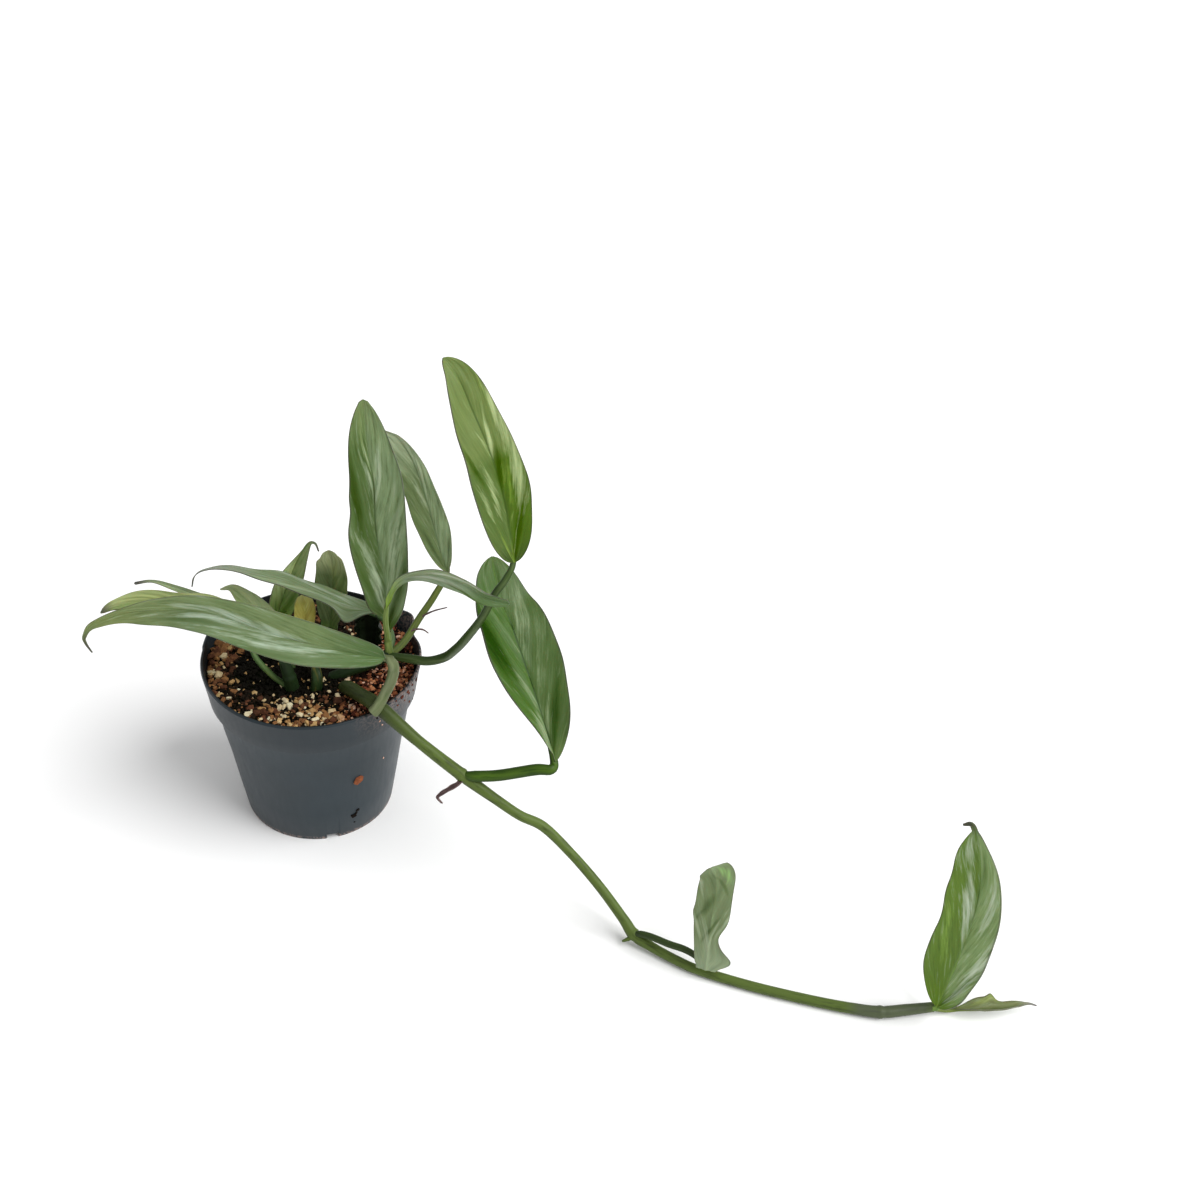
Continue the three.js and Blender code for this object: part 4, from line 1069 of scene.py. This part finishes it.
class EPIPREMNUM_OT_pot(bpy.types.Operator):
    """Model the moulded nursery pot, with the crumbs that stick to it"""

    bl_idname = "epipremnum.pot"
    bl_label = "Pot"

    def execute(self, context):
        settings = context.scene.epipremnum_pot
        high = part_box("pot")[1]
        rim, height = high.x / MM, high.z / MM
        foot, shoulder, band = FOOT * rim, SHOULDER * rim, BAND * rim
        profile = [
            (12, 0), (12.7, FOOT_RING), (foot - 3.3, FOOT_RING), (foot - 2.6, 0), (foot, 0),
            (0.756 * rim, 22), (0.81 * rim, 45), (0.86 * rim, 62), (shoulder, SHOULDER_AT), (band, BAND_AT),
            (0.966 * rim, 88), (rim, height - 1), (rim - 0.5, height), (rim - WALL, height),
            (band - WALL, BAND_AT + WALL), (shoulder - WALL, SHOULDER_AT - 1), (0.8 * rim - WALL, 42),
            (foot - WALL, FLOOR), (6, FLOOR),
        ]
        pot = self.turned("pot_moulded", profile)
        for shape, (count, first, place, size) in CUTS.items():
            for i in range(count):
                self.cut(pot, shape, place * MM, math.radians(first + 360 * i / count), size)
        sharp = math.radians(40)
        apply_modifier(pot, "BEVEL", width=settings.edge, segments=2, limit_method="ANGLE", angle_limit=sharp)
        self.soften_rim(pot, settings.squash, high.z)
        smooth(pot, 35)
        finish_piece(pot, [self.moulded_plastic(settings, high.z)], "pot", slot="nursery_plastic")
        self.add_crumbs(rim, height)
        return {"FINISHED"}

    @staticmethod
    def turned(name, profile):
        """A turned shell: a circle that is extruded and resized from point to point, then closed."""
        bpy.ops.object.select_all(action="DESELECT")
        bpy.ops.mesh.primitive_circle_add(vertices=160, radius=profile[0][0] * MM, location=(0, 0, 0))
        piece = bpy.context.object
        piece.name = piece.data.name = name
        bpy.ops.object.mode_set(mode="EDIT")
        bpy.ops.mesh.select_all(action="SELECT")
        for (radius, z), (next_radius, next_z) in zip(profile, profile[1:]):
            up = (0, 0, (next_z - z) * MM)
            bpy.ops.mesh.extrude_region_move(TRANSFORM_OT_translate={"value": up})
            grow = next_radius / radius
            bpy.ops.transform.resize(value=(grow, grow, 1), center_override=(0, 0, 0))
        bpy.ops.object.mode_set(mode="OBJECT")
        close_ends(piece)
        return piece

    @staticmethod
    def cut(pot, shape, place, turn, size):
        """Takes a notch or a drain hole out of the pot."""
        bpy.ops.object.select_all(action="DESELECT")
        at = (place * math.cos(turn), place * math.sin(turn), 0)
        if shape == "notch":
            bpy.ops.mesh.primitive_cube_add(size=1, location=at, rotation=(0, 0, turn))
        else:
            bpy.ops.mesh.primitive_cylinder_add(vertices=24, radius=1, depth=1, location=at)
        cutter = bpy.context.object
        cutter.scale = [part * MM for part in size]
        apply_modifier(pot, "BOOLEAN", operation="DIFFERENCE", object=cutter, solver="EXACT")
        bpy.data.objects.remove(cutter)

    @staticmethod
    def soften_rim(pot, squash, height):
        """Pushes the soft band out a little at the back right and makes its rim slightly uneven."""
        for vertex in pot.data.vertices:
            x, y, z = vertex.co
            radius = math.hypot(x, y)
            above = max(0.0, (z - 0.6 * height) / (0.4 * height))
            if above == 0 or radius < 0.45 * height:
                continue
            angle = math.atan2(y, x)
            push = 0.25 * MM * math.sin(3 * angle + 1)
            for degrees, spread, part in RIM_DENTS:
                push += squash * part * bell(math.degrees(angle) - degrees, spread)
            vertex.co.x += x / radius * push * above**2
            vertex.co.y += y / radius * push * above**2

    @staticmethod
    def moulded_plastic(settings, height):
        """Moulded polypropylene: thin and slightly soft, satin, dulled by fine scuffs and soil dust."""
        material, tree = new_material("Moulded polypropylene")
        at = node(tree, "TexCoord").outputs["Object"]
        x, _, z = node(tree, "SeparateXYZ", {0: at}).outputs
        # Shade varies over about 38 mm. Scuffs are 2.4 mm wide and drawn out upwards, dust specks 1.4 mm.
        uneven = node(tree, "TexNoise", {"Vector": at, "Scale": 0.026 / MM, "Detail": 3}).outputs[0]
        upwards = node(tree, "Mapping", {0: at, "Scale": (1, 1, 0.15)}).outputs[0]
        scuffs = node(tree, "TexNoise", {"Vector": upwards, "Scale": 0.42 / MM, "Detail": 5}).outputs[0]
        specks = node(tree, "TexNoise", {"Vector": at, "Scale": 0.7 / MM, "Detail": 2}).outputs[0]
        level = node(tree, "VectorMath", {0: at, 1: (1, 1, 0)}, operation="MULTIPLY").outputs[0]
        radius = node(tree, "VectorMath", {0: level}, operation="LENGTH").outputs["Value"]
        outer = node(tree, "Math", {0: z, 1: 0.15, 2: 44.7 * MM}, operation="MULTIPLY_ADD").outputs[0]
        inwards = node(tree, "Math", {0: outer, 1: radius}, operation="SUBTRACT").outputs[0]
        speckled = (specks, 0.44, 0.6)
        dust = (*settings.dust, 1)
        # From below: uneven plastic, the band painted darker as shade, dust at the right, dirt on the foot,
        # and the inside wall painted near black as shade.
        colour = paint(
            tree,
            (*settings.colour, 1),
            ((*[1.22 * part for part in settings.colour], 1), 1, (uneven, 0.35, 0.7)),
            (linear("#12181c"), 0.35, (z, SHOULDER_AT * MM, BAND_AT * MM)),
            (dust, 1, (z, 0.8 * height, height), (x, 30 * MM, 60 * MM), speckled),
            (dust, 1, (z, 2.8 * MM, 1.2 * MM), speckled),
            (linear("#0c0e0f"), 0.85, (inwards, 0.5 * MM, 1.1 * MM), (z, 84 * MM, 86 * MM)),
        )
        rough = node(tree, "MapRange", {"Value": scuffs, "To Min": 0.34, "To Max": 0.5}).outputs[0]
        inputs = {"Base Color": colour, "Roughness": rough, "IOR": 1.49, "Specular IOR Level": 0.3}
        finish_surface(tree, inputs, (scuffs, 0.12, 0.1 * MM))
        return material

    @staticmethod
    def add_crumbs(rim, height):
        """Soil crumbs that stick to the wall, half sunk into it."""
        shapes = chip_shapes(bpy.context.scene.epipremnum_soil)
        draw = random.Random(3)
        chips = []
        for degrees, z, size, tint in WALL_CRUMBS:
            turn = math.radians(degrees)
            radius = rim * np.interp(z, (0, SHOULDER_AT, BAND_AT, height), (FOOT, SHOULDER, BAND, 1))
            place = (radius * math.cos(turn) * MM, radius * math.sin(turn) * MM, z * MM)
            out = Matrix.Rotation(turn, 3, "Z") @ Matrix.Rotation(draw.uniform(0, 3), 3, "X")
            chips.append((draw.randrange(6), place, (size * 0.5 * MM, size * MM, size * 0.8 * MM), out, tint))
        crumbs = scatter("pot_crumbs", shapes, chips)
        finish_piece(crumbs, [bark_and_grit("Bark crumbs on the pot")], slot="potting_mix")


class EPIPREMNUM_OT_soil(bpy.types.Operator):
    """Fill the pot with potting mix: a dark plug with loose bark chips and pale grit on top"""

    bl_idname = "epipremnum.soil"
    bl_label = "Soil"

    def execute(self, context):
        settings = context.scene.epipremnum_soil
        finish_piece(self.plug(), [self.humus(settings)], "soil", slot="potting_mix")
        loose = scatter("soil_chips", chip_shapes(settings), self.chips(settings))
        finish_piece(loose, [bark_and_grit("Composted bark and pumice grit")], slot="potting_mix")
        return {"FINISHED"}

    @staticmethod
    def plug():
        """The plug: a rolled-up grid from the middle of its bottom to the middle of its top."""
        turn = np.linspace(0, 2 * math.pi, 145)
        rings = [(2, 5.2), (40, 5.2), (51.6, 79), (54.6, 82.8), (56.4, None)]
        points = []
        for radius, z in rings:
            x, y = radius * np.cos(turn), radius * np.sin(turn)
            level = soil_height(x, y) - 2.5 if z is None else z * np.ones_like(x)
            points.append(np.stack([x, y, level], axis=-1))
        for radius in np.linspace(56, 1.5, 44):
            x, y = radius * np.cos(turn), radius * np.sin(turn)
            rough = [noise.fractal(Vector((a * 0.28, b * 0.28, 4)), 1, 2, 4) for a, b in zip(x, y)]
            points.append(np.stack([x, y, soil_height(x, y) - 1.2 + 1.1 * np.array(rough)], axis=-1))
        piece = grid_piece("soil_plug", np.array(points))
        close_ends(piece)
        smooth(piece)
        return piece

    @staticmethod
    def chips(settings):
        """Where the chips lie, how large and how pale: tan grit in front, rust bark at the right."""
        draw = random.Random(settings.seed)
        golden_angle = 2.39996
        chips = []
        for i in range(settings.chips):
            radius = 56.3 * math.sqrt((i + 0.5) / settings.chips)
            turn = golden_angle * i + draw.uniform(-0.05, 0.05)
            x, y = radius * math.cos(turn), radius * math.sin(turn)
            grade = draw.random()
            size = settings.least + (settings.most - settings.least) * grade**2
            front = past(-y, 33, 3) * bell(x + 1, 27)
            right = past(x, 24, 4)
            left_edge = past(-x, 41, 3)
            # The damp middle under the leaves has small dark chips and a few pale grains: the dark is partly
            # damp soil and partly painted shade of the leaves.
            damp_and_shaded = max(bell(x + 10, 31) * bell(y + 5, 24), bell(x - 14, 9) * bell(y - 16, 13))
            size *= 1 + 0.3 * left_edge + 0.1 * front
            pick = draw.random()
            if pick < 0.07 + 0.25 * front + 0.05 * left_edge + 0.16 * right:
                tint = draw.uniform(0.66, 1.02)
            elif pick < 0.2 + 0.5 * front + 0.6 * right + 0.55 * left_edge - 0.3 * damp_and_shaded:
                tint = draw.uniform(0.28 + 0.08 * left_edge, 0.62 + 0.06 * right)
            else:
                tint = draw.uniform(-0.05, 0.2)
            if damp_and_shaded > 0.35:
                pale = draw.random() > 0.94
                size = draw.uniform(1.4, 2.4) * MM if pale else min(size, 2.2 * MM)
                tint = draw.uniform(0.66, 0.92) if pale else -0.1
            if right > 0.5:
                size = min(size, 2.6 * MM)
            if size > 0.7 * settings.most and tint < 0.28:
                size *= 0.6
            turned = Matrix.Rotation(draw.uniform(0, 6.3), 3, "Z")
            turned = turned @ Matrix.Rotation(draw.uniform(-0.6, 0.6), 3, "X")
            thick = size * draw.uniform(0.45, 0.8)
            place = (x * MM, y * MM, soil_height(x, y) * MM + 0.12 * thick)
            shape = draw.randrange(6)
            chips.append((shape, place, (size, size * draw.uniform(0.4, 0.95), thick), turned, tint))
        return chips

    @staticmethod
    def humus(settings):
        """Peat and fine bark: near black, crumbly and matt, with a thin green film where it stays wet."""
        material, tree = new_material("Peat and fine bark")
        at = node(tree, "TexCoord").outputs["Object"]
        crumb = node(tree, "TexNoise", {"Vector": at, "Scale": 0.65 / MM, "Detail": 5}).outputs[0]
        film = node(tree, "TexNoise", {"Vector": at, "Scale": 0.06 / MM, "Detail": 2}).outputs[0]
        colour = paint(
            tree,
            (*settings.humus, 1),
            ((*settings.algae, 1), 1, (film, 0.45, 0.65)),
            (linear("#2f2212"), 1, (crumb, 0.55, 0.72)),
        )
        inputs = {"Base Color": colour, "Roughness": 0.9, "IOR": 1.4, "Specular IOR Level": 0.1}
        finish_surface(tree, inputs, (crumb, 0.8, 0.6 * MM))
        return material


class EPIPREMNUM_OT_stems(bpy.types.Operator):
    """Model the trailing vine and the two short stems in the pot"""

    bl_idname = "epipremnum.stems"
    bl_label = "Stems"

    def execute(self, context):
        settings = context.scene.epipremnum_stems
        for index, (name, stem) in enumerate(STEMS.items()):
            piece = tube(name + "_skin", **stem, sides=24, step=1)
            if name == "vine":
                piece = join([piece, tube("root_stub", **ROOT_STUB, sides=12)])
                skin = living_stem("Vine skin", "#50612a", "#87984c", "#232a14", 4, settings.old)
                finish_piece(piece, [skin], name, slot="stem_green")
            else:
                # The short stems in the shaded middle are painted near black: partly their own dark green,
                # partly shade.
                skin = living_stem("Short stem skin " + name, "#1f3017", "#3f5629", "#131e0e", index)
                finish_piece(piece, [skin], name, slot="stem_dark")
        return {"FINISHED"}


class EPIPREMNUM_OT_leaves(bpy.types.Operator):
    """Model every leaf with its petiole, its veins and its own colouring"""

    bl_idname = "epipremnum.leaves"
    bl_label = "Leaves"

    def execute(self, context):
        settings = context.scene.epipremnum_leaves
        slots = {part["node"]: part["material_slot"] for part in frame["record"]["subparts"]}
        for index, name in enumerate(LEAVES):
            leaf, look = {**LEAF, **LEAVES[name]}, {**LOOK, **LOOKS[name]}
            piece = blade(name + "_blade", leaf, look, settings, 3.7 * index + 1)
            stalk = petiole(name + "_stalk", leaf, settings.thickness)
            skin = living_stem("Petiole skin " + name, *look["stalk"], look["dark"], index)
            stalk.data.materials.append(skin)
            finish_piece(join([piece, stalk]), [], name, slot=slots[name])
        return {"FINISHED"}


class EPIPREMNUM_OT_dry_bits(bpy.types.Operator):
    """Add the dried sheath on the vine, the dried wisps and the dark sheath painted as shade"""

    bl_idname = "epipremnum.dry_bits"
    bl_label = "Dried sheaths"

    def execute(self, context):
        paper = self.dried_sheath()
        finish_piece(curled_strip("dry_sheath_vine", **DRY_SCALE), [paper], "dry_scale", slot="dry_sheath")
        for name, path in WISPS.items():
            wisp = curled_strip(name, path, WISP_RADII, span=2.6, thickness=0.25)
            finish_piece(wisp, [paper], slot="dry_sheath")
        # The dark sheath's near-black skin is painted shade.
        skin = living_stem("Sheath painted as shade", "#1c2618", "#34452b", "#0f140d", 3)
        finish_piece(curled_strip("shade_sheath", **SHADE_SHEATH), [skin], slot="stem_dark")
        return {"FINISHED"}

    @staticmethod
    def dried_sheath():
        """Dried leaf sheath: papery, fibrous along its length and purple-brown."""
        material, tree = new_material("Dried leaf sheath")
        at = node(tree, "TexCoord").outputs["UV"]
        drawn = node(tree, "Mapping", {0: at, "Scale": (2, 14, 1)}).outputs[0]
        fibres = node(tree, "TexNoise", {"Vector": drawn, "Scale": 2, "Detail": 4}).outputs[0]
        stops = [(0.3, linear("#3a2a2c")), (0.55, linear("#65504e")), (0.75, linear("#9a857c"))]
        colour = node(tree, "ValToRGB", {0: fibres}, stops=stops).outputs[0]
        finish_surface(tree, {"Base Color": colour, "Roughness": 0.8, "IOR": 1.4}, (fibres, 0.5, 0.2 * MM))
        return material


class EPIPREMNUM_OT_stage(bpy.types.Operator):
    """Set up the floor, the light and the camera"""

    bl_idname = "epipremnum.stage"
    bl_label = "Stage"

    def execute(self, context):
        settings = context.scene.epipremnum_stage
        bpy.ops.object.select_all(action="DESELECT")
        bpy.ops.mesh.primitive_plane_add(size=12, location=(0, 0, 0))
        floor = context.object
        floor.name = "floor"
        material, tree = new_material("Pale matt board")
        board = {"Base Color": (*settings.floor, 1), "Roughness": 0.9, "Specular IOR Level": 0.2}
        finish_surface(tree, board)
        floor.data.materials.append(material)

        towards = -Vector(settings.sun_from)
        bpy.ops.object.light_add(type="SUN", rotation=towards.to_track_quat("-Z", "Y").to_euler())
        sun = context.object
        sun.data.energy = settings.sun
        sun.data.angle = settings.sun_size
        world = bpy.data.worlds.new("Studio fill")
        world.use_nodes = True
        fill = world.node_tree.nodes["Background"].inputs
        fill["Color"].default_value = (1, 1, 1, 1)
        fill["Strength"].default_value = settings.sky
        context.scene.world = world
        context.scene.view_settings.view_transform = "Standard"

        # The camera looks level along +Y, then down by its pitch, and is turned about that by its roll.
        forward = Vector((0, math.cos(settings.pitch), -math.sin(settings.pitch)))
        level = Vector((1, 0, 0))
        upward = level.cross(forward)
        cos_roll, sin_roll = math.cos(settings.roll), math.sin(settings.roll)
        right = cos_roll * level + sin_roll * upward
        up = cos_roll * upward - sin_roll * level
        bpy.ops.object.camera_add()
        camera = context.object
        turned = Matrix((right, up, -forward)).transposed().to_4x4()
        camera.matrix_world = Matrix.Translation(settings.camera) @ turned
        camera.data.sensor_width = 36
        camera.data.lens = settings.lens
        context.scene.camera = camera
        return {"FINISHED"}


class EPIPREMNUM_PT_panel(bpy.types.Panel):
    """The pieces of the plant, in the order in which they are made"""

    bl_label = "Potted epipremnum"
    bl_idname = "EPIPREMNUM_PT_panel"
    bl_space_type = "VIEW_3D"
    bl_region_type = "UI"
    bl_category = "Epipremnum"

    def draw(self, context):
        for operator in OPERATORS:
            self.layout.operator(operator.bl_idname)


OPERATORS = [
    EPIPREMNUM_OT_stage,
    EPIPREMNUM_OT_pot,
    EPIPREMNUM_OT_soil,
    EPIPREMNUM_OT_stems,
    EPIPREMNUM_OT_leaves,
    EPIPREMNUM_OT_dry_bits,
]
SETTINGS = {
    "epipremnum_pot": EpipremnumPotSettings,
    "epipremnum_soil": EpipremnumSoilSettings,
    "epipremnum_stems": EpipremnumStemSettings,
    "epipremnum_leaves": EpipremnumLeafSettings,
    "epipremnum_stage": EpipremnumStageSettings,
}


def register():
    for group in [*SETTINGS.values(), *OPERATORS, EPIPREMNUM_PT_panel]:
        bpy.utils.register_class(group)
    for name, group in SETTINGS.items():
        setattr(bpy.types.Scene, name, PointerProperty(type=group))


def unregister():
    for name in SETTINGS:
        delattr(bpy.types.Scene, name)
    for group in [EPIPREMNUM_PT_panel, *reversed(OPERATORS), *reversed(SETTINGS.values())]:
        bpy.utils.unregister_class(group)


def main():
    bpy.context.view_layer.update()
    register()
    bpy.ops.epipremnum.stage()
    bpy.ops.epipremnum.pot()
    bpy.ops.epipremnum.soil()
    bpy.ops.epipremnum.stems()
    bpy.ops.epipremnum.leaves()
    bpy.ops.epipremnum.dry_bits()


if __name__ == "__main__":
    main()
